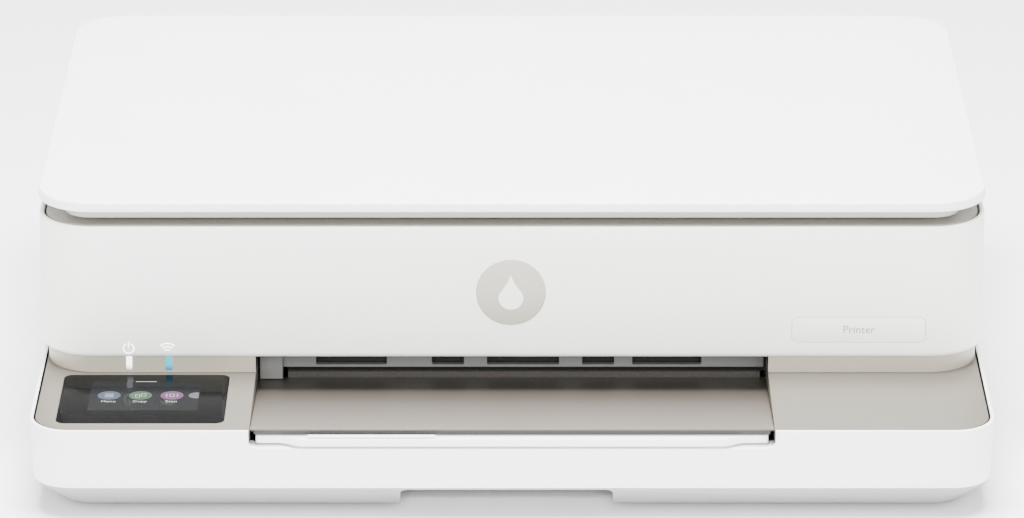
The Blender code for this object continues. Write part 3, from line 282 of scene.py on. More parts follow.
@dataclass(frozen=True)
class PearlPlastic:
    """Champagne plastic whose fine flakes catch the light, optionally darkened along Y as painted shade."""

    name: str
    colour: Point
    flake: float = 0.35
    roughness: float = 0.42
    painted_shade_span: Pair | None = None
    painted_shade_level: float = 0.4

    def make(self) -> bpy.types.Material:
        """Build the material."""
        shader = Shader(self.name)
        flakes = 1 - shader.cells(1900.0)
        spark = (flakes - 0.62).least(0.0) * 2.4
        broad = shader.noise(18.0, 3.0)
        grain = shader.noise(1400.0, 2.0)
        base = shader.blend(broad, tuple(c * 0.97 for c in self.colour),
                            tuple(min(1.0, c * 1.03) for c in self.colour))
        # Painted shade: the colour darkens along Y between the two given places, down to the given share of
        # itself.
        if self.painted_shade_span:
            start, end = self.painted_shade_span
            share = (shader.along(Axis.Y) - start) * (1 / (end - start))
            base = shader.blend(share.least(0.0).most(1.0), base,
                                tuple(c * self.painted_shade_level for c in self.colour))
        bright = tuple(min(1.0, c * 1.22) for c in self.colour)
        shader.dress(Base_Color=shader.blend(spark.most(0.6), base, bright),
                     Metallic=spark.most(0.5) * self.flake,
                     Roughness=grain * 0.10 + (self.roughness - 0.04), IOR=1.5)
        shader.bump(grain, 0.00002)
        return shader.material


@dataclass(frozen=True)
class Glossy:
    """Hard polished surface with the faintest waviness and dust."""

    name: str
    colour: Point
    roughness: float = 0.03
    index: float = 1.065

    def make(self) -> bpy.types.Material:
        """Build the material."""
        shader = Shader(self.name)
        wave = shader.noise(60.0, 1.0)
        dust = shader.noise(2600.0, 1.0)
        shader.dress(Base_Color=shader.blend(wave, tuple(c * 0.92 for c in self.colour),
                                             tuple(min(1.0, c * 1.08) for c in self.colour)),
                     Roughness=(dust - 0.6).least(0.0) * 0.5 + self.roughness,
                     IOR=self.index)
        shader.bump(wave, 0.000004)
        return shader.material


@dataclass(frozen=True)
class ClearSheet:
    """Clear glass or film, seen through, with a faint tint."""

    name: str
    tint: Point
    alpha: float = 0.22

    def make(self) -> bpy.types.Material:
        """Build the material."""
        shader = Shader(self.name)
        smear = shader.noise(30.0, 3.0)
        shader.dress(Base_Color=shader.blend(smear, self.tint, tuple(c * 0.9 for c in self.tint)),
                     Roughness=smear * 0.06 + 0.02, Alpha=smear * 0.05 + self.alpha,
                     IOR=1.5, Coat_Weight=1.0, Coat_Roughness=0.02)
        return shader.material


@dataclass(frozen=True)
class Steel:
    """Rolled or ground steel with fine lines along one axis."""

    name: str
    colour: Point = (0.58, 0.59, 0.60)
    lines: Point = (0.02, 1.0, 1.0)
    roughness: float = 0.32

    def make(self) -> bpy.types.Material:
        """Build the material."""
        shader = Shader(self.name)
        fine = shader.noise(1600.0, 2.0, self.lines)
        broad = shader.noise(25.0, 2.0)
        shader.dress(Base_Color=shader.blend(fine, tuple(c * 0.85 for c in self.colour), self.colour),
                     Metallic=1.0, Roughness=fine * 0.18 + broad * 0.10 + (self.roughness - 0.12))
        shader.bump(fine, 0.00001)
        return shader.material


@dataclass(frozen=True)
class Rubber:
    """Matt rubber with a dusty, slightly open surface."""

    name: str
    colour: Point = (0.025, 0.025, 0.027)

    def make(self) -> bpy.types.Material:
        """Build the material."""
        shader = Shader(self.name)
        fine = shader.noise(900.0, 3.0)
        dust = shader.noise(70.0, 4.0)
        shader.dress(Base_Color=shader.blend(dust * 0.6, self.colour,
                                             tuple(c * 2.2 + 0.01 for c in self.colour)),
                     Roughness=fine * 0.15 + 0.72, IOR=1.45)
        shader.bump(fine, 0.00005)
        return shader.material


@dataclass(frozen=True)
class Glow:
    """A lit surface whose brightness falls off towards one end."""

    name: str
    colour: Point
    far_colour: Point
    start: float
    end: float
    strength: float = 1.0

    def make(self) -> bpy.types.Material:
        """Build the material."""
        shader = Shader(self.name)
        rise = (shader.along(Axis.Z) - self.start) * (1 / (self.end - self.start))
        share = (rise + (shader.noise(900.0) - 0.5) * 0.05).least(0.0).most(1.0)
        lit = shader.blend(share, self.colour, self.far_colour)
        shader.dress(Base_Color=(0.02, 0.02, 0.02), Emission_Color=lit,
                     Emission_Strength=self.strength, Roughness=0.25, IOR=1.1)
        return shader.material


@dataclass(frozen=True)
class CircuitBoard:
    """Green solder mask with traces and gold pads."""

    name: str

    def make(self) -> bpy.types.Material:
        """Build the material."""
        shader = Shader(self.name)
        wires = shader.node("ShaderNodeTexBrick", {"offset": 0.37, "squash": 2.0},
                            {"Vector": shader.place, "Scale": 260.0, "Mortar Size": 0.03})
        traces = Signal(shader, wires.outputs[1])
        pads = (0.12 - shader.cells(420.0)).above(0.0)
        mask = shader.blend(traces * 0.7, (0.012, 0.085, 0.035), (0.03, 0.17, 0.07))
        shader.dress(Base_Color=shader.blend(pads, mask, (0.75, 0.55, 0.22)), Metallic=pads * 0.9,
                     Roughness=shader.noise(300.0) * 0.15 + 0.32, Coat_Weight=0.4)
        shader.bump(traces + pads, 0.00005)
        return shader.material


class Finish(Enum):
    """Every finish of the printer."""

    COVER = MouldedPlastic("cover_white", (0.86, 0.87, 0.87))
    PANEL = MouldedPlastic("panel_warm_white", (0.84, 0.84, 0.81))
    # Painted shade: the white cover plastic greyed for the downward-facing chamfer.
    CHAMFER = MouldedPlastic("chamfer_painted_shade", (0.27, 0.275, 0.275))
    DECK = PearlPlastic("deck_champagne", (0.108, 0.098, 0.078), 0.20)
    # Painted light: a lighter copy of the deck's own plastic for the upright wall of the same moulding.
    WALL = PearlPlastic("deck_wall_painted_light", (0.36, 0.335, 0.265), 0.20)
    # Painted shade: the bay floor darkens towards the back, under the upper unit.
    BAY = PearlPlastic("bay_taupe_painted_shade", (0.095, 0.083, 0.069), 0.16, 0.40, (-0.165, -0.085), 0.33)
    BEZEL = PearlPlastic("bezel_taupe", (0.31, 0.29, 0.25), 0.25)
    BADGE = PearlPlastic("badge_champagne", (0.38, 0.355, 0.305), 0.40, 0.32)
    # Partly painted shade: the liner's light grey darkened for the shade under the lid.
    UNDERSIDE = MouldedPlastic("lid_under_grey_painted_shade", (0.30, 0.30, 0.295), 0.5)
    SHADE = MouldedPlastic("seam_shade", (0.030, 0.030, 0.028), 0.6)
    GREY = MouldedPlastic("inner_grey", (0.175, 0.175, 0.168), 0.48, 1200.0, 0.00004, 0.06)
    MID_GREY = MouldedPlastic("key_grey", (0.33, 0.335, 0.335), 0.45)
    DARK = MouldedPlastic("engine_black", (0.028, 0.028, 0.030), 0.45, 1100.0, 0.00004, 0.12)
    # Painted highlight: the symbols glow so they read brighter than the panel; they are no lamp.
    MARK_PAINTED_GLOW = Glow("mark_painted_glow", (0.9, 0.9, 0.88), (1.0, 1.0, 0.98), 0.0525, 0.0585, 8.0)
    SIGN = Glow("sign_lit", (1.0, 1.0, 1.0), (1.0, 1.0, 1.0), 0.0, 1.0, 1.3)
    MARK = MouldedPlastic("mark_grey", (0.50, 0.50, 0.50), 0.4, 1500.0, 0.00001)
    LABEL = MouldedPlastic("label_grey", (0.20, 0.205, 0.21), 0.4, 1500.0, 0.00001)
    GLASS = Glossy("touch_black", (0.004, 0.0042, 0.0042))
    SCREEN = Glossy("screen_dark", (0.0075, 0.0078, 0.0085))
    CLEAR = ClearSheet("scan_glass", (0.62, 0.74, 0.72))
    FILM = ClearSheet("encoder_film", (0.30, 0.32, 0.33), 0.5)
    STEEL = Steel("rail_steel")
    MOTOR = Steel("motor_steel", (0.50, 0.51, 0.52), (0.02, 1, 1), 0.38)
    RUBBER = Rubber("rubber_black")
    NYLON = MouldedPlastic("gear_nylon", (0.70, 0.69, 0.64), 0.42, 700.0, 0.00003, 0.04)
    BOARD = CircuitBoard("board_green")
    PAD = MouldedPlastic("pad_white", (0.85, 0.86, 0.86), 0.6, 500.0, 0.00006, 0.02)
    INK_BLACK = MouldedPlastic("cartridge_black", (0.05, 0.05, 0.055), 0.35)
    INK_COLOUR = MouldedPlastic("cartridge_blue_grey", (0.10, 0.14, 0.19), 0.35)

    @property
    def material(self) -> bpy.types.Material:
        """The finish's material, built on first use."""
        found = bpy.data.materials.get(self.value.name)
        return found or self.value.make()


# ---------------------------------------------------------------- mesh tools
@dataclass(frozen=True)
class Span:
    """The box of a CAD node."""

    low: Vector
    high: Vector

    @classmethod
    def of(cls, node: str) -> "Span":
        """Read a node's box from the frame."""
        return cls(*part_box(node))

    @property
    def half(self) -> float:
        """Half the width."""
        return (self.high.x - self.low.x) / 2

    @property
    def middle(self) -> Vector:
        """The centre."""
        return (self.low + self.high) / 2


@dataclass(frozen=True)
class Outline:
    """A rounded rectangle in plan, symmetric about X = 0."""

    half: float
    front: float
    back: float
    corner: float

    def ring(self, z: float, inset: float, steps: int = CORNER_STEPS) -> list[Point]:
        """Points at a height and an inset.

        Args:
            z: Height.
            inset: Distance in from the outline.
            steps: Steps in each corner.

        Returns:
            The points, anticlockwise from above.
        """
        radius = max(self.corner - inset, 0.0015)
        half, front, back = self.half - inset, self.front + inset, self.back - inset
        points = []
        for quarter, (x, y) in enumerate(((half, back), (-half, back), (-half, front), (half, front))):
            centre = (x - math.copysign(radius, x), y - radius if quarter < 2 else y + radius)
            for step in range(steps + 1):
                angle = (quarter + step / steps) * math.pi / 2
                points.append((centre[0] + radius * math.cos(angle),
                               centre[1] + radius * math.sin(angle), z))
        return points


def rolled(z: float, inset: float, radius: float, rising: bool, steps: int = 5) -> list[Pair]:
    """Sections of a quarter round at the top or the bottom of a wall.

    Args:
        z: Height of the flat that the round meets.
        inset: The wall's inset.
        radius: Radius of the round.
        rising: Whether the round leads up from the flat to the wall.
        steps: Steps in the round.

    Returns:
        Pairs of height and inset, from bottom to top.
    """
    pairs = []
    for step in range(steps + 1):
        angle = step / steps * math.pi / 2
        out = radius * (1 - math.sin(angle))
        lift = radius * (1 - math.cos(angle))
        pairs.append((z + lift, inset + out) if rising else (z - lift, inset + out))
    return pairs if rising else pairs[::-1]


def mesh_object(name: str, shape: bmesh.types.BMesh, finish: Finish | None,
                angle: float = 32.0) -> bpy.types.Object:
    """Turn a bmesh into a linked object with smooth shading.

    Args:
        name: The object's name.
        shape: The bmesh, which is freed.
        finish: Its finish, or none for a tool.
        angle: Angle above which an edge stays sharp, in degrees.

    Returns:
        The object, at the origin.
    """
    mesh = bpy.data.meshes.new(name)
    shape.to_mesh(mesh)
    shape.free()
    mesh.shade_smooth()
    mesh.set_sharp_from_angle(angle=math.radians(angle))
    item = bpy.data.objects.new(name, mesh)
    bpy.context.scene.collection.objects.link(item)
    if finish:
        mesh.materials.append(finish.material)
    return item


def skin(name: str, rings: Sequence[Sequence[Point]], finish: Finish | None,
         closed: bool = False) -> bpy.types.Object:
    """Skin a stack of rings of equal count, with flat caps or closed into a tube.

    Args:
        name: The object's name.
        rings: The rings.
        finish: The finish.
        closed: Whether the last ring joins the first.

    Returns:
        The object.
    """
    shape = bmesh.new()
    made = [[shape.verts.new(point) for point in ring] for ring in rings]
    pairs = list(zip(made, made[1:]))
    if closed:
        pairs.append((made[-1], made[0]))
    for lower, upper in pairs:
        for index in range(len(lower)):
            after = (index + 1) % len(lower)
            shape.faces.new((lower[index], lower[after], upper[after], upper[index]))
    if not closed:
        shape.faces.new(made[0][::-1])
        shape.faces.new(made[-1])
    bmesh.ops.recalc_face_normals(shape, faces=shape.faces)
    return mesh_object(name, shape, finish)


def block(name: str, low: Sequence[float], high: Sequence[float], finish: Finish | None = None,
          radius: float = 0.0, axis: Axis = Axis.Z, edge: float = 0.0) -> bpy.types.Object:
    """A box whose edges along one axis, and then all others, may be rounded.

    Args:
        name: The object's name.
        low: Lowest corner.
        high: Highest corner.
        finish: The finish, or none for a tool.
        radius: Rounding of the edges along the axis.
        axis: That axis.
        edge: Rounding of the other edges.

    Returns:
        The object.
    """
    shape = bmesh.new()
    bmesh.ops.create_cube(shape, size=1.0)
    for vert in shape.verts:
        vert.co = Vector(a + (c + 0.5) * (b - a) for a, b, c in zip(low, high, vert.co))
    if radius > 0:
        edges = [e for e in shape.edges
                 if abs((e.verts[0].co - e.verts[1].co).normalized()[axis.value]) > 0.9]
        bmesh.ops.bevel(shape, geom=edges, offset=radius, segments=8, profile=0.5, affect="EDGES")
    if edge > 0:
        edges = [e for e in shape.edges if len(e.link_faces) == 2
                 and e.calc_face_angle(0.0) > math.radians(60)]
        bmesh.ops.bevel(shape, geom=edges, offset=edge, segments=3, profile=0.5, affect="EDGES")
    bmesh.ops.recalc_face_normals(shape, faces=shape.faces)
    return mesh_object(name, shape, finish)


def drum(name: str, start: Sequence[float], end: Sequence[float], radius: float,
         finish: Finish | None = None, sides: int = 64, edge: float = 0.0) -> bpy.types.Object:
    """A cylinder between two points, with its rims rounded if asked."""
    start, end = Vector(start), Vector(end)
    shape = bmesh.new()
    bmesh.ops.create_cone(shape, cap_ends=True, segments=sides, radius1=radius, radius2=radius,
                          depth=(end - start).length)
    if edge > 0:
        rims = [e for e in shape.edges if abs(e.verts[0].co.z - e.verts[1].co.z) < 1e-6]
        bmesh.ops.bevel(shape, geom=rims, offset=edge, segments=3, profile=0.5, affect="EDGES")
    turn = Vector((0, 0, 1)).rotation_difference((end - start).normalized()).to_matrix().to_4x4()
    bmesh.ops.transform(shape, verts=shape.verts, matrix=Matrix.Translation((start + end) / 2) @ turn)
    return mesh_object(name, shape, finish)


def outline_plate(name: str, points: Sequence[Pair], axis: Axis, low: float, high: float,
                  finish: Finish | None = None) -> bpy.types.Object:
    """A flat outline with thickness along one axis; points are the other two axes in order."""
    shape = bmesh.new()
    rings = []
    for level in (low, high):
        ring = []
        for u, v in points:
            place = {Axis.X: (level, u, v), Axis.Y: (u, level, v), Axis.Z: (u, v, level)}[axis]
            ring.append(shape.verts.new(place))
        rings.append(ring)
    for index in range(len(points)):
        after = (index + 1) % len(points)
        shape.faces.new((rings[0][index], rings[0][after], rings[1][after], rings[1][index]))
    shape.faces.new(rings[0][::-1])
    shape.faces.new(rings[1])
    bmesh.ops.recalc_face_normals(shape, faces=shape.faces)
    return mesh_object(name, shape, finish)


def bake(item: bpy.types.Object, angle: float = 32.0) -> bpy.types.Object:
    """Apply an object's modifiers to its mesh and set its sharp edges."""
    graph = bpy.context.evaluated_depsgraph_get()
    mesh = bpy.data.meshes.new_from_object(item.evaluated_get(graph))
    item.modifiers.clear()
    item.data = mesh
    mesh.shade_smooth()
    mesh.set_sharp_from_angle(angle=math.radians(angle))
    return item


def carve(item: bpy.types.Object, cuts: Iterable[bpy.types.Object] = (),
          joins: Iterable[bpy.types.Object] = (), late_cuts: Iterable[bpy.types.Object] = (),
          edge: float = 0.0) -> bpy.types.Object:
    """Cut and join tools, bake the result and remove the tools.

    Args:
        item: The object to work on.
        cuts: Tools to cut first.
        joins: Tools to join next.
        late_cuts: Tools to cut last.
        edge: Width of a small bevel on the sharp edges afterwards.

    Returns:
        The object.
    """
    steps = [(tool, "DIFFERENCE") for tool in cuts] + [(tool, "UNION") for tool in joins]
    steps += [(tool, "DIFFERENCE") for tool in late_cuts]
    for tool, operation in steps:
        change = item.modifiers.new("carve", "BOOLEAN")
        change.operation = operation
        change.solver = "EXACT"
        change.object = tool
    if edge > 0:
        bevel = item.modifiers.new("edge", "BEVEL")
        bevel.width = edge
        bevel.segments = 2
        bevel.limit_method = "ANGLE"
        bevel.angle_limit = math.radians(50)
    bake(item)
    for tool, _ in steps:
        bpy.data.objects.remove(tool, do_unlink=True)
    return item


def merged(name: str, pieces: Sequence[bpy.types.Object], finish: Finish) -> bpy.types.Object:
    """Join separate small meshes of one finish into one object."""
    shape = bmesh.new()
    for piece in pieces:
        shape.from_mesh(piece.data)
        bpy.data.objects.remove(piece, do_unlink=True)
    for face in shape.faces:
        face.material_index = 0
    return mesh_object(name, shape, finish)


def word(name: str, text: str, centre: Point, height: float, finish: Finish,
         upright: bool) -> bpy.types.Object:
    """A short generic word as a thin raised mesh.

    Args:
        name: The object's name.
        text: The word.
        centre: Its centre, on the surface it is printed on.
        height: Height of the type.
        finish: Its finish.
        upright: Whether it stands on a front face instead of lying on a top.

    Returns:
        The object.
    """
    curve = bpy.data.curves.new(name, "FONT")
    curve.body = text
    curve.size = height
    curve.align_x = "CENTER"
    curve.align_y = "CENTER"
    curve.extrude = 0.00002
    curve.resolution_u = 3
    drawn = bpy.data.objects.new(name, curve)
    bpy.context.scene.collection.objects.link(drawn)
    graph = bpy.context.evaluated_depsgraph_get()
    mesh = bpy.data.meshes.new_from_object(drawn.evaluated_get(graph))
    bpy.data.objects.remove(drawn, do_unlink=True)
    turn = Matrix.Rotation(math.pi / 2, 4, "X") if upright else Matrix.Identity(4)
    mesh.transform(Matrix.Translation(centre) @ turn)
    mesh.materials.clear()
    mesh.materials.append(finish.material)
    mesh.name = name
    item = bpy.data.objects.new(name, mesh)
    bpy.context.scene.collection.objects.link(item)
    return item


def arc_band(name: str, centre: Point, radius: float, width: float, start: float, end: float,
             finish: Finish, thick: float = 0.00006) -> bpy.types.Object:
    """A thin raised arc on a front face, its angles in degrees from +X towards +Z."""
    steps = max(6, int(abs(end - start) / 10))
    angles = [math.radians(start + (end - start) * i / steps) for i in range(steps + 1)]
    outer = [(centre[0] + (radius + width / 2) * math.cos(a), centre[2] + (radius + width / 2) * math.sin(a))
             for a in angles]
    inner = [(centre[0] + (radius - width / 2) * math.cos(a), centre[2] + (radius - width / 2) * math.sin(a))
             for a in reversed(angles)]
    return outline_plate(name, outer + inner, Axis.Y, centre[1] - thick, centre[1] + thick, finish)


class Repeater:
    """A Geometry Nodes tree that repeats one piece along a line, a ring or a path."""

    def __init__(self, name: str, layout: Layout) -> None:
        """Build the tree with named inputs.

        Args:
            name: Name of the tree.
            layout: How the piece is laid out.
        """
        self.layout = layout
        self.tree = bpy.data.node_groups.new(name, "GeometryNodeTree")
        self.tree.interface.new_socket("Path", in_out="INPUT", socket_type="NodeSocketGeometry")
        self._input("Piece", "NodeSocketObject")
        self._input("Count", "NodeSocketInt")
        self._input("Start", "NodeSocketVector")
        self._input("Step", "NodeSocketVector")
        self._input("Radius", "NodeSocketFloat")
        self._input("Seed", "NodeSocketInt")
        self._input("Jitter", "NodeSocketFloat")
        self._input("Finish", "NodeSocketMaterial")
        self.tree.interface.new_socket("Geometry", in_out="OUTPUT", socket_type="NodeSocketGeometry")
        self._wire()

    def _input(self, name: str, kind: str) -> None:
        """Declare one named input."""
        self.tree.interface.new_socket(name, in_out="INPUT", socket_type=kind)

    def _node(self, kind: str, settings: dict, values: dict) -> bpy.types.Node:
        """Add a node, set its settings and then its sockets."""
        made = self.tree.nodes.new(kind)
        for key, value in settings.items():
            setattr(made, key, value)
        for key, value in values.items():
            if isinstance(value, bpy.types.NodeSocket):
                self.tree.links.new(value, made.inputs[key])
            else:
                made.inputs[key].default_value = value
        return made

    def _wire(self) -> None:
        """Connect points, the piece, realised instances and the finish."""
        given = self._node("NodeGroupInput", {}, {}).outputs
        piece = self._node("GeometryNodeObjectInfo", {}, {"Object": given["Piece"]})
        if self.layout is Layout.LINE:
            points = self._node("GeometryNodeMeshLine", {}, {"Count": given["Count"],
                                                             "Start Location": given["Start"],
                                                             "Offset": given["Step"]}).outputs[0]
            turn = None
        elif self.layout is Layout.RING:
            ring = self._node("GeometryNodeMeshCircle", {}, {"Vertices": given["Count"],
                                                             "Radius": given["Radius"]})
            index = self._node("GeometryNodeInputIndex", {}, {}).outputs[0]
            share = self._node("ShaderNodeMath", {"operation": "DIVIDE"}, {0: index, 1: given["Count"]})
            angle = self._node("ShaderNodeMath", {"operation": "MULTIPLY"},
                               {0: share.outputs[0], 1: 2 * math.pi})
            turn = self._node("ShaderNodeCombineXYZ", {}, {"Z": angle.outputs[0]}).outputs[0]
            points = ring.outputs[0]
        else:
            spread = self._node("GeometryNodeCurveToPoints", {"mode": "COUNT"},
                                {0: given["Path"], "Count": given["Count"]})
            points = spread.outputs[0]
            turn = spread.outputs["Rotation"]
        shake = self._node("FunctionNodeRandomValue", {"data_type": "FLOAT_VECTOR"},
                           {"Min": (-1.0, -1.0, -1.0), "Max": (1.0, 1.0, 1.0), "Seed": given["Seed"]})
        shift = self._node("ShaderNodeVectorMath", {"operation": "SCALE"},
                           {0: shake.outputs[0], "Scale": given["Jitter"]})
        moved = self._node("GeometryNodeSetPosition", {}, {"Geometry": points, "Offset": shift.outputs[0]})
        placed = self._node("GeometryNodeInstanceOnPoints", {}, {"Points": moved.outputs[0],
                                                                 "Instance": piece.outputs["Geometry"]})
        if turn is not None:
            self.tree.links.new(turn, placed.inputs["Rotation"])
        solid = self._node("GeometryNodeRealizeInstances", {}, {"Geometry": placed.outputs[0]})
        dressed = self._node("GeometryNodeSetMaterial", {}, {"Geometry": solid.outputs[0],
                                                             "Material": given["Finish"]})
        self._node("NodeGroupOutput", {}, {"Geometry": dressed.outputs[0]})

    def make(self, name: str, piece: bpy.types.Object, finish: Finish, count: int,
             start: Point = (0, 0, 0), step: Point = (0, 0, 0), radius: float = 0.0,
             path: bpy.types.Object | None = None, turn: Matrix | None = None,
             jitter: float = 0.0) -> bpy.types.Object:
        """Run the tree and return a plain mesh object.

        Args:
            name: The new object's name.
            piece: The piece to repeat, which is removed afterwards.
            finish: Its finish.
            count: How many.
            start: First place on a line.
            step: Step along a line.
            radius: Radius of a ring.
            path: Curve object for a path.
            turn: Matrix applied to the whole result.
            jitter: Random shift of each place.

        Returns:
            The mesh object, at the origin.
        """
        host = path or bpy.data.objects.new(name + "_host", bpy.data.meshes.new(name))
        if path is None:
            bpy.context.scene.collection.objects.link(host)
        change = host.modifiers.new("repeat", "NODES")
        change.node_group = self.tree
        values = {"Piece": piece, "Count": count, "Start": start, "Step": step, "Radius": radius,
                  "Seed": 7, "Jitter": jitter, "Finish": finish.material}
        for socket in self.tree.interface.items_tree:
            if socket.name in values and socket.in_out == "INPUT":
                change[socket.identifier] = values[socket.name]
        graph = bpy.context.evaluated_depsgraph_get()
        mesh = bpy.data.meshes.new_from_object(host.evaluated_get(graph))
        bpy.data.objects.remove(host, do_unlink=True)
        bpy.data.objects.remove(piece, do_unlink=True)
        if turn is not None:
            mesh.transform(turn)
        mesh.name = name
        item = bpy.data.objects.new(name, mesh)
        bpy.context.scene.collection.objects.link(item)
        mesh.shade_smooth()
        mesh.set_sharp_from_angle(angle=math.radians(32))
        return item


# ---------------------------------------------------------------- sub-assemblies
@dataclass
class Assembly:
    """A group of pieces that knows the frame and its bodies."""

    frame: dict

    def joint(self, name: str) -> Vector:
        """The place of a hinge's axis in the frame."""
        for joint in self.frame["record"]["behaviour"]["joints"]:
            if joint["name"] == name:
                return Vector(joint["pos_m"])
        raise KeyError(name)

    def dress(self, finish: Finish, *nodes: str) -> None:
        """Give CAD nodes a finish."""
        for node in nodes:
            slots = self.frame["nodes"][node].material_slots
            for slot in slots:
                slot.material = finish.material

    def add(self, item: bpy.types.Object, body: str, slot: str, *nodes: str) -> bpy.types.Object:
        """Let a piece ride on a body and hide the nodes that it stands for."""
        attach(item, body)
        if nodes:
            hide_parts(*nodes)
        LOG.info("%s rides on %s", item.name, body)
        return item


@dataclass
class LidAssembly(Assembly):
    """Lid shell with its crowned top, grey underside, pad and rubber stops."""

    roll: float = 0.0010
    crown_reach: float = 0.055
    wall: float = 0.0024
    under_setback: float = 0.0032
    under_corner: float = 0.0124

    def outline(self) -> Outline:
        """The lid's plan."""
        span = Span.of("lid_shell")
        return Outline(span.half, span.low.y, span.high.y, UPPER_CORNER)

    def hinge_slots(self, shell: bool) -> list[bpy.types.Object]:
        """Tools for the slots round the hinge barrels."""
        axis = self.joint("lid_lift")
        slots = []
        for side in (-1, 1):
            x = side * 0.150
            slots.append(block("slot", (x - 0.0045, axis.y - 0.0032, 0.10),
                               (x + 0.0045, axis.y + 0.02, axis.z + 0.0027)))
            if not shell:
                slots.append(drum("bore", (x - 0.0088, axis.y, axis.z), (x + 0.0088, axis.y, axis.z),
                                  0.0014, None, 32))
        return slots

    def cover(self) -> bpy.types.Object:
        """The white shell."""
        span = Span.of("lid_shell")
        plan = self.outline()
        edge = span.high.z - 0.0009
        pairs = rolled(span.low.z, 0.0002, 0.0006, True, 3)
        pairs += rolled(edge, 0.0004, self.roll, False)
        last = pairs[-1][1]
        for step in range(1, 9):
            share = step / 8
            pairs.append((edge + (span.high.z - edge) * (1 - (1 - share) ** 2),
                          last + (self.crown_reach - last) * share))
        inner = [(edge - 0.0018, self.wall + 0.004), (edge - 0.0020, self.wall),
                 (span.low.z, self.wall), (span.low.z, 0.0009)]
        rings = [plan.ring(z, inset) for z, inset in pairs[::-1]]
        rings += [plan.ring(z, inset) for z, inset in reversed(inner)]
        return carve(skin("lid_cover", rings, Finish.COVER), self.hinge_slots(True))

    def underside(self) -> bpy.types.Object:
        """The grey recessed liner with the hinge ears; its grey is partly its own colour and partly painted
        shade.
        """
        span = Span.of("lid_liner")
        lid = self.outline()
        plan = Outline(span.half, lid.front + self.under_setback, lid.back - self.under_setback,
                       self.under_corner)
        low = span.low.z
        pairs = rolled(low, 0.0, 0.0009, True, 4)
        pairs += [(span.high.z, 0.0)]
        body = skin("lid_underside", [plan.ring(z, inset) for z, inset in pairs], Finish.UNDERSIDE)
        axis = self.joint("lid_lift")
        ears = [block("ear", (side * 0.150 - 0.0095, axis.y - 0.0030, low),
                      (side * 0.150 + 0.0095, lid.back - 0.0008, 0.1211)) for side in (-1, 1)]
        return carve(body, (), ears, self.hinge_slots(False))

    def stops(self) -> bpy.types.Object:
        """Four small rubber stops under the lid's corners."""
        span = Span.of("lid_liner")
        pieces = []
        for x in (-span.half + 0.022, span.half - 0.022):
            for y in (span.low.y + 0.022, span.high.y - 0.030):
                pieces.append(drum("stop", (x, y, span.low.z - 0.0012), (x, y, span.low.z + 0.0002),
                                   0.004, None, 32, 0.0004))
        return merged("lid_stops", pieces, Finish.RUBBER)

    def build(self) -> None:
        """Build and dress the lid."""
        self.add(self.cover(), "lid", "cover", "lid_shell")
        self.add(self.underside(), "lid", "grey", "lid_liner")
        self.add(self.stops(), "lid", "rubber")
        self.dress(Finish.PAD, "lid_pad")


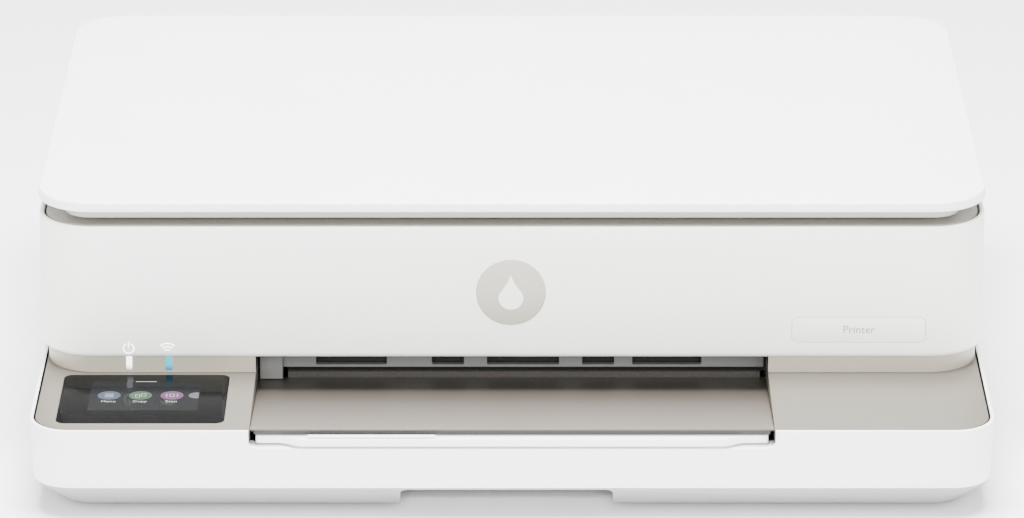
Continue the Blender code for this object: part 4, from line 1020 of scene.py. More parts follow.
@dataclass
class ScannerAssembly(Assembly):
    """Scanner unit: warm white housing, bezel, badge, nameplate and the scan bed."""

    wall: float = 0.0024
    lip: float = 0.0026
    draft: float = 0.0004
    bezel_step: float = 0.0035
    mark_width: float = 0.00042

    def outline(self) -> Outline:
        """The housing's plan."""
        span = Span.of("upper_housing")
        return Outline(span.half, span.low.y, span.high.y, UPPER_CORNER)

    def housing(self) -> bpy.types.Object:
        """The white skirt with its rounded lower edge and its recesses."""
        span = Span.of("upper_housing")
        plan = self.outline()
        outer = rolled(span.low.z, 0.0, self.lip, True, 8)
        outer += rolled(span.high.z, self.draft, 0.0007, False, 4)
        inner = [(span.high.z, self.wall - 0.0004), (span.high.z - 0.0004, self.wall),
                 (span.low.z, self.wall + 0.0004)]
        rings = [plan.ring(z, inset) for z, inset in outer + inner]
        body = skin("scanner_housing", rings, Finish.PANEL, True)
        axis = self.joint("scanner_lift")
        badge = Span.of("badge")
        plate = Span.of("nameplate")
        cuts = [block("rear", (-0.162, span.high.y - 0.010, 0.0), (0.162, 1, axis.z + 0.0015))]
        joins, late = [], []
        for side in (-1, 1):
            x = side * 0.140
            cuts.append(block("notch", (x - 0.0055, span.high.y - 0.012, 0.04),
                              (x + 0.0055, 1, axis.z + 0.006)))
            for offset in (-0.008, 0.008):
                joins.append(block("ear", (x + offset - 0.0025, axis.y - 0.0035, axis.z - 0.0035),
                                   (x + offset + 0.0025, span.high.y - 0.0002, axis.z + 0.008)))
            late.append(drum("bore", (x - 0.013, axis.y, axis.z), (x + 0.013, axis.y, axis.z), 0.0023,
                             None, 32))
        late.append(drum("badge_seat", (badge.middle.x, span.low.y - 0.005, badge.middle.z),
                         (badge.middle.x, badge.high.y + GAP, badge.middle.z),
                         badge.half + 0.00012, None, 128))
        late.append(block("plate_seat", (plate.low.x - 0.00018, span.low.y - 0.005, plate.low.z - 0.00018),
                          (plate.high.x + 0.00018, plate.high.y + GAP, plate.high.z + 0.00018),
                          None, 0.0030, Axis.Y))
        return carve(body, cuts, joins, late)

    def bezel(self) -> bpy.types.Object:
        """The taupe frame round the scan glass, with the lid's hinge barrels."""
        plan = self.outline()
        top = Span.of("upper_housing").high.z
        low = Span.of("scan_glass").high.z + GAP
        glass = Span.of("scan_glass")
        rings = [plan.ring(low, self.bezel_step)]
        rings += [plan.ring(z, inset) for z, inset in rolled(top, self.bezel_step, 0.0008, False, 5)]
        body = skin("scan_bezel", rings, Finish.BEZEL)
        axis = self.joint("lid_lift")
        joins = []
        for side in (-1, 1):
            x = side * 0.150
            joins.append(block("post", (x - 0.0033, axis.y - 0.0021, top - 0.001),
                               (x + 0.0033, axis.y - 0.0008, axis.z)))
            joins.append(drum("barrel", (x - 0.0036, axis.y, axis.z), (x + 0.0036, axis.y, axis.z),
                              0.0021, None, 32))
            joins.append(drum("pin", (x - 0.0078, axis.y, axis.z), (x + 0.0078, axis.y, axis.z), 0.0011,
                              None, 24))
        window = block("window", (glass.low.x + 0.005, glass.low.y + 0.005, 0.10),
                       (glass.high.x - 0.005, glass.high.y - 0.005, 0.13), None, 0.002)
        return carve(body, [window], joins)

    def badge(self) -> None:
        """A champagne disc with a plain drop-shaped inlay."""
        span = Span.of("badge")
        centre = span.middle
        disc = drum("badge_disc", (centre.x, span.low.y, centre.z), (centre.x, span.high.y, centre.z),
                    span.half, Finish.BADGE, 128, 0.00025)
        self.add(disc, "scanner_unit", "badge", "badge")
        radius = span.half * 0.36
        points = []
        steps = 40
        for step in range(steps):
            angle = 2 * math.pi * step / steps
            pinch = max(0.0, math.sin(angle)) ** 3
            points.append((centre.x + radius * math.cos(angle) * (1 - 0.86 * pinch),
                           centre.z - radius * 0.45 + radius * math.sin(angle) * (1 + 0.95 * pinch)))
        drop = outline_plate("badge_drop", points, Axis.Y, span.low.y - 0.00012, span.low.y + 0.0003,
                             Finish.PANEL)
        self.add(drop, "scanner_unit", "panel")

    def nameplate(self) -> None:
        """A plain inset plate with a fine border and one generic word."""
        span = Span.of("nameplate")
        plate = block("nameplate_panel", (span.low.x, span.low.y - 0.0001, span.low.z), span.high,
                      Finish.PANEL, 0.0028, Axis.Y, 0.0002)
        self.add(plate, "scanner_unit", "panel", "nameplate")
        text = word("nameplate_word", "Printer", (span.middle.x, span.low.y - 0.00012, span.middle.z),
                    0.0052, Finish.LABEL, True)
        self.add(text, "scanner_unit", "dark")

    def marks(self) -> None:
        """The power and wireless symbols above the two lights, glowing as a painted highlight though they are
        no lamp.
        """
        front = Span.of("upper_housing").low.y
        z = 0.0556
        width = self.mark_width
        power_x = Span.of("power_light").middle.x + 0.0001
        pieces = [arc_band("ring", (power_x, front, z), 0.0024, width, 120, 420, Finish.MARK),
                  block("stroke", (power_x - width / 2, front - 0.00006, z + 0.0004),
                        (power_x + width / 2, front + 0.00006, z + 0.0031), Finish.MARK)]
        wave_x = Span.of("wireless_light").middle.x - 0.0003
        for radius in (0.0016, 0.0031, 0.0046):
            pieces.append(arc_band("wave", (wave_x, front, z - 0.0022), radius, width, 45, 135, Finish.MARK))
        self.add(merged("panel_marks", pieces, Finish.MARK_PAINTED_GLOW), "scanner_unit", "panel")

    def build(self) -> None:
        """Build and dress the scanner unit."""
        self.add(self.housing(), "scanner_unit", "panel", "upper_housing")
        self.add(self.bezel(), "scanner_unit", "bezel", "scanner_bezel")
        self.badge()
        self.nameplate()
        self.marks()
        self.dress(Finish.CLEAR, "scan_glass")
        self.dress(Finish.DARK, "scanner_bed", "scan_bar")
        self.dress(Finish.STEEL, "scan_rod")


def band_rings(plan: Outline, low: float, top: float, inset: float, floor: float) -> list[list[Point]]:
    """Rings of the lower band: chamfer, drafted wall and rounded rim.

    Args:
        plan: The band's plan at the rim.
        low: Height of the bottom.
        top: Height of the rim.
        inset: Wall thickness, or 0 for the outside.
        floor: Height of the floor above the bottom, for the inside.

    Returns:
        The rings, from bottom to top.
    """
    foot = BASE_CHAMFER + BASE_DRAFT - floor + inset * 1.3
    bend = low + BASE_CHAMFER + inset / 2
    wider = Outline(plan.half, plan.front, plan.back, BASE_FOOT_CORNER + foot)
    rings = [wider.ring(low + floor, foot)]
    if not inset:
        rings.append(wider.ring(low + floor + 0.0008, foot - 0.0010))
    rings.append(plan.ring(bend - 0.0006, BASE_DRAFT + inset + 0.0006))
    rings.append(plan.ring(bend + 0.0006, BASE_DRAFT + inset))
    if inset:
        rings.append(plan.ring(top, inset))
    else:
        rings += [plan.ring(z, out) for z, out in rolled(top, 0.0, 0.0004, False, 3)]
    return rings


@dataclass
class BaseAssembly(Assembly):
    """Base pan, input tray front, rear cover, sockets, feet and the paper bin."""

    wall: float = 0.0016
    floor: float = 0.0022
    pocket_low: float = 0.0343
    grip_inset: float = 0.0009

    def plan(self) -> Outline:
        """The lower band's plan at the rim."""
        front = Span.of("tray_front")
        back = Span.of("base_pan")
        return Outline(front.half, front.low.y, back.high.y, BASE_CORNER)

    def band(self, name: str) -> bpy.types.Object:
        """The whole band as one open shell."""
        span = Span.of("tray_front")
        plan = self.plan()
        outer = band_rings(plan, span.low.z, span.high.z, 0.0, 0.0)
        inner = band_rings(plan, span.low.z, span.high.z, self.wall, self.floor)
        return skin(name, outer + inner[::-1], Finish.COVER)

    def shade(self, item: bpy.types.Object) -> bpy.types.Object:
        """Paint shade: a greyer copy of the white on the downward-facing chamfer and a dark one on the walls'
        inner faces.
        """
        mesh = item.data
        mesh.materials.append(Finish.CHAMFER.material)
        mesh.materials.append(Finish.SHADE.material)
        for face in mesh.polygons:
            outward = face.normal.x * face.center.x + face.normal.y * face.center.y
            # Painted shade: faces that point down, on the chamfer, take the greyer copy of the white.
            if face.normal.z < -0.25:
                face.material_index = 1
            # Painted shade: the walls' inner faces, in the seam, take the dark seam shade.
            elif outward < 0 and abs(face.normal.z) < 0.2 and face.center.z > 0.012:
                face.material_index = 2
        return item

    def split(self) -> float:
        """Where the tray front ends."""
        return Span.of("tray_front").high.y

    def tray_face(self) -> bpy.types.Object:
        """The full-width tray front with its finger notch and the extender's pocket."""
        low = Span.of("tray_front").low
        bay = Span.of("output_tray").half + GAP
        notch = (-0.0504, 0.0454)
        top = low.z + 0.0105
        start = low.y + BASE_CHAMFER + BASE_DRAFT
        wall = 0.0025
        body = self.band("tray_face")
        inset = self.grip_inset
        grip = [(low.y + BASE_DRAFT + inset, top + wall), (low.y + BASE_DRAFT + inset, low.z + BASE_CHAMFER),
                (start + inset, low.z + inset), (start + 0.019, low.z + inset), (start + 0.019, top + wall)]
        joins = [outline_plate("grip_body", grip, Axis.X, notch[0] - wall, notch[1] + wall, None),
                 block("ledge", (-bay, low.y + 0.0012, self.pocket_low - 0.0012),
                       (bay, low.y + 0.0095, self.pocket_low + 0.0005))]
        late = [block("notch", (notch[0], low.y - 0.01, low.z - 0.01), (notch[1], start + 0.0165, top),
                      None, 0.0035, Axis.Y),
                block("pocket", (-bay - 0.0003, low.y - 0.01, self.pocket_low),
                      (bay + 0.0003, low.y + 0.012, 0.06),
                      None, 0.0036, Axis.Y),
                block("end", (-1, self.split(), -1), (1, 1, 1))]
        return carve(body, (), joins, late)

    def base_shell(self) -> bpy.types.Object:
        """The base behind the split, with the holes in its back wall."""
        start = Span.of("base_pan").low.y
        back = Span.of("base_pan").high.y
        body = self.band("base_shell")
        cuts = [block("front", (-1, -1, -1), (1, start, 1))]
        for node in ("power_inlet", "data_port", "power_button", "wireless_button"):
            hole = Span.of(node)
            cuts.append(block("hole", (hole.low.x - GAP, back - 0.004, hole.low.z - GAP),
                              (hole.high.x + GAP, back + 0.004, hole.high.z + GAP), None, 0.0013, Axis.Y))
        bulkhead = []
        bay = Span.of("output_tray").half + 0.0043
        for side in (-1, 1):
            ends = sorted((side * bay, side * (self.plan().half - self.wall)))
            bulkhead.append(block("bulkhead", (ends[0], start, 0.0157), (ends[1], start + self.wall, 0.0371)))
        gear = Span.of("idler_gear")
        axle = self.joint("middle_gear_turn")
        bulkhead.append(block("post", (gear.high.x + 0.0006, axle.y - 0.006, 0.005),
                              (gear.high.x + 0.0046, axle.y + 0.006, axle.z + 0.006)))
        bulkhead.append(drum("stub", (gear.low.x - 0.002, axle.y, axle.z),
                             (gear.high.x + 0.0045, axle.y, axle.z),
                             0.0023, None, 32))
        return carve(body, cuts, bulkhead)

    def rear_panel(self) -> bpy.types.Object:
        """The raised rear cover with a row of vents."""
        span = Span.of("rear_cover")
        body = block("rear_panel", span.low, span.high, Finish.COVER, 0.005, Axis.Y, 0.0008)
        count = 9
        pitch = 0.0220
        slot = block("slot", (-0.0070, -0.0030, -0.00125), (0.0070, 0.0030, 0.00125), None, 0.0011, Axis.Y)
        rows = Repeater("vent_row", Layout.LINE)
        start = (-(count - 1) / 2 * pitch, span.high.y, span.low.z + 0.0105)
        vents = rows.make("vents", slot, Finish.DARK, count, start, (pitch, 0, 0))
        frame_cut = block("panel_line", (-0.1145, span.high.y - 0.0006, span.low.z + 0.0195),
                          (0.1145, span.high.y + 0.01, span.low.z + 0.0203))
        return carve(body, [vents, frame_cut])

    def foot_treads(self) -> None:
        """Rubber feet with a rounded rim and a ring of small pips."""
        rings = Repeater("foot_pips", Layout.RING)
        for tag in ("front_left", "front_right", "rear_left", "rear_right"):
            span = Span.of("foot_" + tag)
            centre = span.middle
            foot = drum("rubber_" + tag, (centre.x, centre.y, span.low.z), (centre.x, centre.y, span.high.z),
                        span.half, Finish.RUBBER, 48, 0.0006)
            self.add(foot, "body", "rubber", "foot_" + tag)
            pip = drum("pip", (0, 0, -0.0003), (0, 0, 0.0003), 0.0006, None, 12)
            place = Matrix.Translation((centre.x, centre.y, span.low.z + 0.0016))
            pips = rings.make("pips_" + tag, pip, Finish.RUBBER, 14, radius=span.half, turn=place)
            self.add(pips, "body", "rubber")

    def bin_ribs(self) -> None:
        """Low ribs along the paper bin's floor."""
        span = Span.of("paper_bin")
        floor = span.low.z + 0.0016
        rib = block("rib", (-0.0005, span.low.y + 0.030, -0.0002), (0.0005, span.high.y - 0.012, 0.00022))
        rows = Repeater("rib_row", Layout.LINE)
        ribs = rows.make("bin_ribs", rib, Finish.DARK, 9, (-0.072, 0, floor), (0.018, 0, 0))
        self.add(ribs, "input_tray", "dark")

    def build(self) -> None:
        """Build and dress the base."""
        self.add(self.shade(self.tray_face()), "input_tray", "cover", "tray_front")
        self.add(self.shade(self.base_shell()), "body", "cover", "base_pan")
        self.add(self.rear_panel(), "body", "cover", "rear_cover")
        self.foot_treads()
        self.bin_ribs()
        self.dress(Finish.DARK, "paper_bin", "power_inlet", "guide_pinion")
        self.dress(Finish.MID_GREY, "width_guide_left", "width_guide_right", "length_guide",
                   "power_button", "wireless_button")
        self.dress(Finish.STEEL, "data_port")


@dataclass
class DeckAssembly(Assembly):
    """Beige deck with its wall, the touch screen and the two lights."""

    inset: float = 0.0022
    seam: float = 0.0003
    ring_step: float = 0.0029
    ring_wall: float = 0.0020
    icon_radius: float = 0.0052
    icons: tuple[tuple[str, Point], ...] = field(default=(
        ("Menu", (0.26, 0.36, 0.72)), ("Copy", (0.13, 0.56, 0.15)), ("Scan", (0.85, 0.19, 0.72))))

    def deck(self) -> bpy.types.Object:
        """The deck, its wall, the bay's cheeks and the rear posts in one moulding."""
        span = Span.of("deck_cover")
        rim = Span.of("tray_front").high.z
        low = rim - 0.0022
        upper = Span.of("upper_housing")
        plan = Outline(span.half - self.seam, span.low.y + self.seam, span.high.y - self.seam,
                       BASE_CORNER - self.inset - self.seam)
        rings = [plan.ring(low, 0.0)] + [plan.ring(z, out) for z, out in rolled(rim, 0.0, 0.0004, False, 3)]
        body = skin("deck_panel", rings, Finish.DECK)
        ring = Outline(upper.half - self.ring_step, upper.low.y + self.ring_step,
                       upper.high.y - self.ring_step, UPPER_CORNER - self.ring_step)
        top = 0.054
        outer = [ring.ring(low + 0.0005, 0.0), ring.ring(rim - 0.0001, 0.0), ring.ring(top, 0.0)]
        wall = skin("wall", outer, None)
        hollow = skin("hollow", [ring.ring(0.03, self.ring_wall), ring.ring(0.07, self.ring_wall)], None)
        axis = self.joint("scanner_lift")
        bay = Span.of("output_tray").half + GAP
        exit_front = Span.of("output_tray").high.y + 0.0008
        joins, cuts = [], []
        cuts.append(block("rear_lower", (-1, upper.high.y - 0.026, 0.049), (1, 1, 1)))
        rise_y = (upper.high.y - self.ring_step - self.ring_wall, upper.high.y - self.ring_step - 0.0004)
        for start, end in ((-0.127, 0.127), (-0.160, -0.153), (0.153, 0.160)):
            joins.append(block("rise", (start, rise_y[0], rim - 0.001), (end, rise_y[1], axis.z + 0.0035)))
        for side in (-1, 1):
            ends = sorted((side * bay, side * (bay + self.ring_wall)))
            joins.append(block("cheek", (ends[0], span.low.y + 0.0018, 0.029),
                               (ends[1], exit_front - 0.0006, rim - 0.0004)))
            x = side * 0.140
            joins.append(block("post", (x - 0.004, axis.y + 0.0006, rim - 0.001),
                               (x + 0.004, axis.y + 0.0034, axis.z)))
            joins.append(drum("barrel", (x - 0.0048, axis.y, axis.z), (x + 0.0048, axis.y, axis.z),
                              0.0035, None, 40))
            joins.append(drum("pin", (x - 0.0105, axis.y, axis.z), (x + 0.0105, axis.y, axis.z), 0.0020,
                              None, 32))
        glass = Span.of("touch_glass")
        late = [block("glass_seat", (glass.low.x - 0.00018, glass.low.y - 0.00018, 0.03),
                      (glass.high.x + 0.00018, glass.high.y + 0.00018, 0.06), None, 0.0042)]
        for node in ("power_light", "wireless_light"):
            light = Span.of(node)
            late.append(block("slot", (light.low.x - 0.0001, upper.low.y, rim + 0.0009),
                              (light.high.x + 0.0001, light.high.y + 0.004,
                               top - 0.001), None, 0.0006, Axis.Y))
        first = carve(body, (), [wall], [hollow] + cuts
                      + [block("bay", (-bay, -1, 0.02), (bay, upper.low.y + 0.02, 0.08))])
        return self.paint_wall_light(carve(first, (), joins, late), rim)

    def paint_wall_light(self, item: bpy.types.Object, rim: float) -> bpy.types.Object:
        """Paint light on the upright wall above the deck with a lighter copy of the deck's plastic."""
        item.data.materials.append(Finish.WALL.material)
        for face in item.data.polygons:
            # Painted light: upright faces above the rim take the lighter copy.
            if face.center.z > rim + 0.0002 and abs(face.normal.z) < 0.5:
                face.material_index = len(item.data.materials) - 1
        return item

    def glass(self) -> bpy.types.Object:
        """The black touch glass with a ground edge."""
        span = Span.of("touch_glass")
        return block("screen_glass", span.low, span.high, Finish.GLASS, 0.004, Axis.Z, 0.00018)

    def screen(self) -> None:
        """The lit display: its field, three discs with signs and words, and a cut-off fourth."""
        glass = Span.of("touch_glass")
        top = glass.high.z
        left, right = -0.1909, -0.1415
        front, back = -0.1556, -0.1197
        field_plate = block("screen_field", (left, front, top - 0.0004), (right, back, top + 0.00003),
                            Finish.SCREEN)
        self.add(field_plate, "body", "gloss")
        row = -0.1371
        signs = []
        labels = []
        for index, (text, colour) in enumerate(self.icons):
            x = left + 0.0087 + index * 0.0142
            finish = Glow("icon_%s" % text.lower(), colour, colour, 0.0, 1.0, 0.36).make()
            disc = drum("icon_" + text.lower(), (x, row, top), (x, row, top + 0.00006), self.icon_radius,
                        None, 48)
            disc.data.materials.append(finish)
            self.add(disc, "body", "gloss")
            signs += self.sign(index, x, row, top + 0.00007)
            label = word("label_" + text.lower(), text, (x, row - 0.0074, top + 0.00005), 0.0030,
                         Finish.SIGN, False)
            labels.append(label)
        ring = drum("icon_more", (right - 0.0012, row, top), (right - 0.0012, row, top + 0.00006), 0.0036,
                    None, 40)
        ring.data.materials.append(Finish.SHADE.material)
        edge = block("edge", (right - 0.0002, row - 0.01, top - 0.001),
                     (right + 0.02, row + 0.01, top + 0.001))
        self.add(carve(ring, [edge]), "body", "gloss")
        bar = block("screen_handle", (-0.1712, -0.1201, top), (-0.1618, -0.1196, top + 0.00006), Finish.SIGN)
        for item in labels + [merged("icon_signs", signs, Finish.SIGN), bar]:
            self.add(item, "body", "light_white")

    def sign(self, index: int, x: float, y: float, z: float) -> list[bpy.types.Object]:
        """Small line signs: a list, two sheets, or a page between brackets."""
        high = z + 0.00004
        if index == 0:
            return [block("line", (x - 0.0020, y + step * 0.0016 - 0.0002, z),
                          (x + 0.0020, y + step * 0.0016 + 0.0002, high)) for step in (-1, 0, 1)]
        if index == 1:
            return self.frame_lines(x - 0.0013, y - 0.0006, z) + self.frame_lines(x + 0.0013, y + 0.0006, z)
        pieces = self.frame_lines(x, y, z)
        for side in (-1, 1):
            low, top = sorted((x + side * 0.0022, x + side * 0.0027))
            pieces.append(block("bracket", (low, y - 0.0018, z), (top, y + 0.0018, high)))
        return pieces

    def frame_lines(self, x: float, y: float, z: float) -> list[bpy.types.Object]:
        """The four thin lines of one small sheet, centred at a point."""
        wide, deep, line = 0.0011, 0.0017, 0.0003
        pieces = []
        for side in (-1, 1):
            ends = sorted((side * wide, side * (wide - line)))
            pieces.append(block("upright", (x + ends[0], y - deep, z), (x + ends[1], y + deep, z + 0.00004)))
            ends = sorted((side * deep, side * (deep - line)))
            pieces.append(block("across", (x - wide, y + ends[0], z), (x + wide, y + ends[1], z + 0.00004)))
        return pieces

    def lights(self) -> None:
        """The two light guides in the wall."""
        for node, colour, far in (("power_light", (0.10, 0.12, 0.14), (1.0, 1.0, 1.0)),
                                  ("wireless_light", (0.002, 0.05, 0.16), (0.004, 0.20, 0.27))):
            span = Span.of(node)
            guide = block(node + "_guide", span.low, span.high, None, 0.0005, Axis.Y)
            guide.data.materials.append(Glow(node, colour, far, span.low.z, span.low.z + 0.0028, 6.0).make())
            self.add(guide, "body", "light_white" if node == "power_light" else "light_cyan", node)

    def build(self) -> None:
        """Build and dress the deck."""
        self.add(self.deck(), "body", "deck", "deck_cover")
        self.add(self.glass(), "body", "gloss", "touch_glass")
        self.screen()
        self.lights()
        self.dress(Finish.DARK, "display_module")


@dataclass
class OutputAssembly(Assembly):
    """Bay floor, exit frame with its star wheels, extender and stop."""

    block_reach: float = 0.0070

    def floor(self) -> bpy.types.Object:
        """The sloping bay floor with its rounded lip and the rib at its back."""
        span = Span.of("output_tray")
        rim = Span.of("tray_front").high.z
        lip = span.low.y
        start = lip + 0.0043
        back = span.high.y
        end = back - 0.0022
        front_top, back_top = 0.0416, 0.0312
        points = [(lip, rim - 0.0010), (lip + 0.0001, rim - 0.0005), (lip + 0.0003, rim - 0.0001),
                  (lip + 0.0008, rim), (start - 0.0018, rim), (start - 0.0010, rim - 0.0003),
                  (start, front_top), (start + 0.004, front_top - 0.0006), (end - 0.002, back_top + 0.00025),
                  (end, back_top + 0.0002), (end, back_top + 0.0029), (end + 0.0003, back_top + 0.0032),
                  (back, back_top + 0.0032), (back, back_top - 0.002), (end, back_top - 0.002),
                  (start, front_top - 0.002), (start - 0.0008, rim - 0.0024), (lip + 0.0012, rim - 0.0012)]
        half = span.half
        body = outline_plate("bay_floor", points, Axis.X, -half, half, Finish.BAY)
        gaps = [block("rib_gap", (left, end - 0.0005, back_top - 0.0004), (right, 0.0, 0.06))
                for left, right in ((-1, -half + 0.0135), (half - 0.0025, 1))]
        return carve(body, gaps)

    def lip_shadow(self) -> bpy.types.Object:
        """The dark strip between the bay's lip and the extender, painted shadow in the gap."""
        span = Span.of("output_tray")
        top = Span.of("tray_front").high.z - 0.0012
        return block("lip_gasket", (-span.half + 0.0015, span.low.y + 0.0013, 0.0394),
                     (span.half - 0.0015, span.low.y + 0.0028, top), Finish.SHADE, 0.0, Axis.Z, 0.0002)

    def exit_surround(self) -> None:
        """The grey frame with its slots, and the star wheels inside them."""
        span = Span.of("exit_frame")
        low = 0.0353
        front = span.low.y + self.block_reach
        body = block("exit_surround", (span.low.x, front, low), (span.high.x, front + 0.003, span.high.z),
                     Finish.GREY, 0.0, Axis.Z, 0.0003)
        middles = (-0.0742, -0.0296, 0.0051, 0.0398, 0.0715)
        widths = (0.0328, 0.0148, 0.0333, 0.0148, 0.0319)
        cuts = [block("slot", (middle - width / 2, front - 0.002, low + 0.0012),
                      (middle + width / 2, front + 0.006, span.high.z - 0.002), None, 0.0005, Axis.Y)
                for middle, width in zip(middles, widths)]
        side = block("side_block", (span.low.x, span.low.y, span.low.z),
                     (span.low.x + 0.0105, span.high.y, span.high.z),
                     None, 0.0, Axis.Z, 0.0004)
        self.add(carve(body, cuts, [side]), "body", "grey", "exit_frame")
        wheels = []
        for middle, width in zip(middles, widths):
            for share in (-0.32, 0.32):
                wheels.append(self.star_wheel(middle + share * width, front + 0.0052, low + 0.0052))
        self.add(merged("star_wheels", wheels, Finish.DARK), "body", "dark")
        backing = block("exit_shade", (span.low.x + 0.012, front + 0.0088, low - 0.005),
                        (span.high.x - 0.0005, front + 0.0094, span.high.z - 0.001), Finish.DARK, 0.0,
                        Axis.Z, 0.0002)
        self.add(backing, "body", "dark")

    def star_wheel(self, x: float, y: float, z: float) -> bpy.types.Object:
        """One thin toothed wheel on an X axis."""
        rings = Repeater("star_teeth", Layout.RING)
        tooth = drum("tooth", (0, 0, -0.00012), (0, 0, 0.00012), 0.00034, None, 3)
        place = Matrix.Translation((x, y, z)) @ Matrix.Rotation(math.pi / 2, 4, "Y")
        teeth = rings.make("teeth", tooth, Finish.DARK, 18, radius=0.0026, turn=place)
        hub = drum("hub", (x - 0.0006, y, z), (x + 0.0006, y, z), 0.0025, None, 24)
        return merged("wheel", [teeth, hub], Finish.DARK)

    def extender(self) -> None:
        """The white extender with its S-shaped front bar, and the small flip-up stop."""
        span = Span.of("output_extender")
        top = 0.0391
        half = span.half
        points = [(-half, span.low.y + 0.0073)]
        steps = 14
        bend_in, bend_out = half - 0.021, half - 0.010
        forward, setback = span.low.y, span.low.y + 0.0043
        for side in (-1, 1):
            bend = []
            for step in range(steps + 1):
                share = step / steps
                bend.append((side * (bend_out + (bend_in - bend_out) * share),
                             setback + (forward - setback) * (1 - math.cos(math.pi * share)) / 2))
            ends = [(side * half, setback + 0.0012), (side * (half - 0.0004), setback + 0.0004),
                    (side * (half - 0.0014), setback)]
            points += ends + bend if side < 0 else bend[::-1] + ends[::-1]
        points.append((half, span.low.y + 0.0073))
        bar = outline_plate("bar", points, Axis.Z, top - 0.0036, top, None)
        slope = (0.0416 - 0.0312) / (Span.of("output_tray").high.y - 0.0022 - (span.low.y + 0.0081))
        back = span.high.y
        start = span.low.y + 0.0058
        drop = slope * (back - start)
        plate = [(start, top - 0.0021), (start, top - 0.0003), (back, top - 0.0003 - drop),
                 (back, top - 0.0021 - drop)]
        body = outline_plate("extender_slide", plate, Axis.X, -half + 0.004, half - 0.004, Finish.COVER)
        bevel = bar.modifiers.new("edge", "BEVEL")
        bevel.width = 0.00035
        bevel.segments = 3
        bevel.limit_method = "ANGLE"
        bevel.angle_limit = math.radians(60)
        bake(bar)
        self.add(carve(body, (), [bar]), "extender", "cover", "output_extender")
        stop = Span.of("paper_stop")
        flap = block("stop_flap_cover", stop.low, stop.high, Finish.COVER, 0.0007, Axis.Z, 0.0002)
        self.add(flap, "stop_flap", "cover", "paper_stop")

    def build(self) -> None:
        """Build and dress the output side."""
        self.add(self.floor(), "body", "bezel", "output_tray")
        self.add(self.lip_shadow(), "body", "dark")
        self.exit_surround()
        self.extender()


@dataclass
class EngineAssembly(Assembly):
    """The print engine's CAD nodes with their finishes and small details."""

    def belt_teeth(self) -> None:
        """Fine teeth along the inside of the drive belt's upper run."""
        span = Span.of("drive_belt")
        z = span.high.z - 0.0012
        curve = bpy.data.curves.new("run", "CURVE")
        curve.dimensions = "3D"
        spline = curve.splines.new("POLY")
        spline.points.add(1)
        for point, x in zip(spline.points, (span.low.x + 0.012, span.high.x - 0.012)):
            point.co = (x, span.middle.y, z, 1.0)
        path = bpy.data.objects.new("run", curve)
        bpy.context.scene.collection.objects.link(path)
        tooth = block("tooth", (-0.0017, -0.0004, -0.0004), (0.0017, 0.0004, 0.0004))
        teeth = Repeater("belt_path", Layout.PATH).make("belt_teeth", tooth, Finish.RUBBER, 150, path=path)
        self.add(teeth, "body", "rubber")

    def board_parts(self) -> None:
        """Chips and capacitors on the main board."""
        span = Span.of("main_board")
        rows = Repeater("chip_row", Layout.LINE)
        top = span.high.z
        chip = block("chip", (-0.0035, -0.0035, -0.0001), (0.0035, 0.0035, 0.0012), None, 0.0, Axis.Z, 0.0002)
        chips = rows.make("board_chips", chip, Finish.DARK, 4, (span.low.x + 0.012, span.middle.y, top),
                          (0.016, 0, 0))
        can = drum("can", (0, 0, -0.0001), (0, 0, 0.006), 0.0025, None, 24, 0.0004)
        cans = rows.make("board_capacitors", can, Finish.MOTOR, 5,
                         (span.low.x + 0.010, span.high.y - 0.010, top),
                         (0.009, 0, 0))
        self.add(chips, "body", "dark")
        self.add(cans, "body", "steel")

    def build(self) -> None:
        """Dress the engine's nodes."""
        self.dress(Finish.DARK, "engine_chassis", "service_station", "print_carriage")
        self.dress(Finish.STEEL, "carriage_rail")
        self.dress(Finish.MOTOR, "carriage_motor", "feed_motor")
        self.dress(Finish.FILM, "encoder_strip")
        self.dress(Finish.RUBBER, "drive_belt", "feed_roller", "exit_roller", "pickup_roller")
        self.dress(Finish.NYLON, "feed_gear", "idler_gear", "exit_gear", "pickup_gear", "motor_gear",
                   "motor_pulley", "idler_pulley")
        self.dress(Finish.BOARD, "main_board")
        self.dress(Finish.GREY, "power_supply")
        self.dress(Finish.MID_GREY, "latch_black", "latch_colour")
        self.dress(Finish.INK_BLACK, "cartridge_black")
        self.dress(Finish.INK_COLOUR, "cartridge_colour")
        self.belt_teeth()
        self.board_parts()


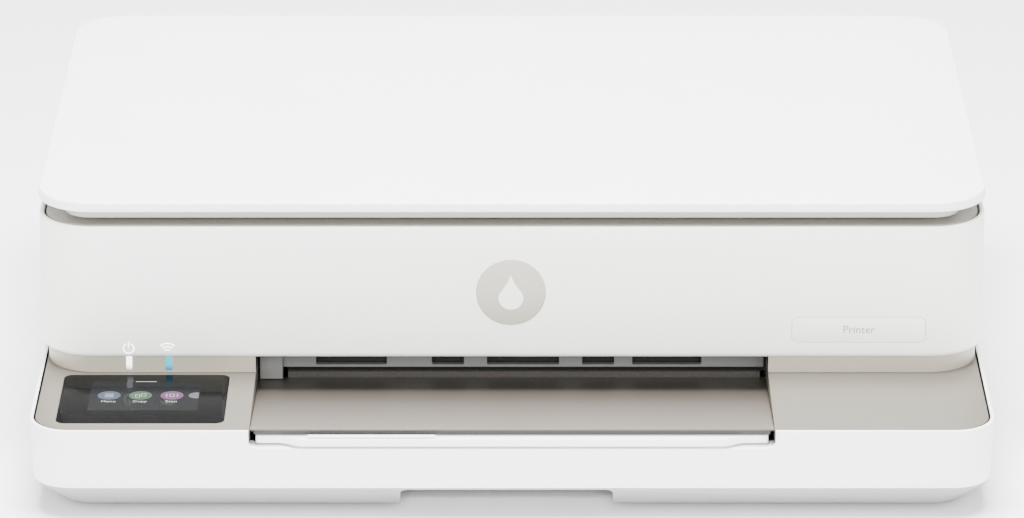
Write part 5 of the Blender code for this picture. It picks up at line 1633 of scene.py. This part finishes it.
@dataclass
class Studio:
    """Pale floor, soft lights and the camera."""

    pitch: float = 20.0
    lens: float = 198.05
    distance_back: float = 2.33045
    height: float = 0.92994

    def camera(self) -> None:
        """Place the camera in front of the rim, looking down."""
        rim = Span.of("tray_front")
        data = bpy.data.cameras.new("camera")
        data.lens = self.lens
        data.sensor_width = 36.0
        data.clip_end = 20.0
        item = bpy.data.objects.new("camera", data)
        item.location = (0.0, rim.low.y - self.distance_back, rim.high.z + self.height)
        item.rotation_euler = (math.radians(90 - self.pitch), 0, 0)
        bpy.context.scene.collection.objects.link(item)
        bpy.context.scene.camera = item

    def light(self, name: str, place: Point, aim: Point, size: Pair, power: float) -> None:
        """Add one soft rectangular light aimed at a point."""
        data = bpy.data.lights.new(name, "AREA")
        data.shape = "RECTANGLE"
        data.size, data.size_y = size
        data.energy = power
        item = bpy.data.objects.new(name, data)
        item.location = place
        item.rotation_euler = (Vector(aim) - Vector(place)).to_track_quat("-Z", "Y").to_euler()
        bpy.context.scene.collection.objects.link(item)

    def build(self) -> None:
        """Build the floor, the world, the lights and the camera."""
        shape = bmesh.new()
        bmesh.ops.create_grid(shape, x_segments=1, y_segments=1, size=6.0)
        floor = mesh_object("floor", shape, None)
        shader = Shader("floor_pale")
        tone = shader.noise(3.0)
        shader.dress(Base_Color=shader.blend(tone, (0.90, 0.90, 0.90), (0.91, 0.91, 0.91)), Roughness=0.9)
        floor.data.materials.append(shader.material)
        world = bpy.data.worlds.new("studio")
        world.use_nodes = True
        world.node_tree.nodes["Background"].inputs[0].default_value = (1.0, 1.0, 1.0, 1.0)
        world.node_tree.nodes["Background"].inputs[1].default_value = 1.45
        bpy.context.scene.world = world
        self.light("overhead", (0.0, -0.15, 1.25), (0.0, 0.0, 0.1), (0.9, 0.7), 95.0)
        self.light("front_fill", (0.0, -2.2, 0.9), (0.0, -0.1, 0.08), (1.4, 0.6), 62.0)
        self.light("left_strip", (-1.3, -0.9, 0.5), (-0.1, -0.1, 0.08), (0.35, 1.2), 9.0)
        self.light("right_strip", (1.3, -0.9, 0.5), (0.1, -0.1, 0.08), (0.35, 1.2), 7.0)
        self.camera()


def main() -> None:
    """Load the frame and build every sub-assembly."""
    logging.basicConfig(level=logging.INFO, format="%(message)s")
    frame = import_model()
    Studio().build()
    for kind in (BaseAssembly, DeckAssembly, OutputAssembly, EngineAssembly, ScannerAssembly, LidAssembly):
        kind(frame).build()
        LOG.info("%s built", kind.__name__)


if __name__ == "__main__":
    main()
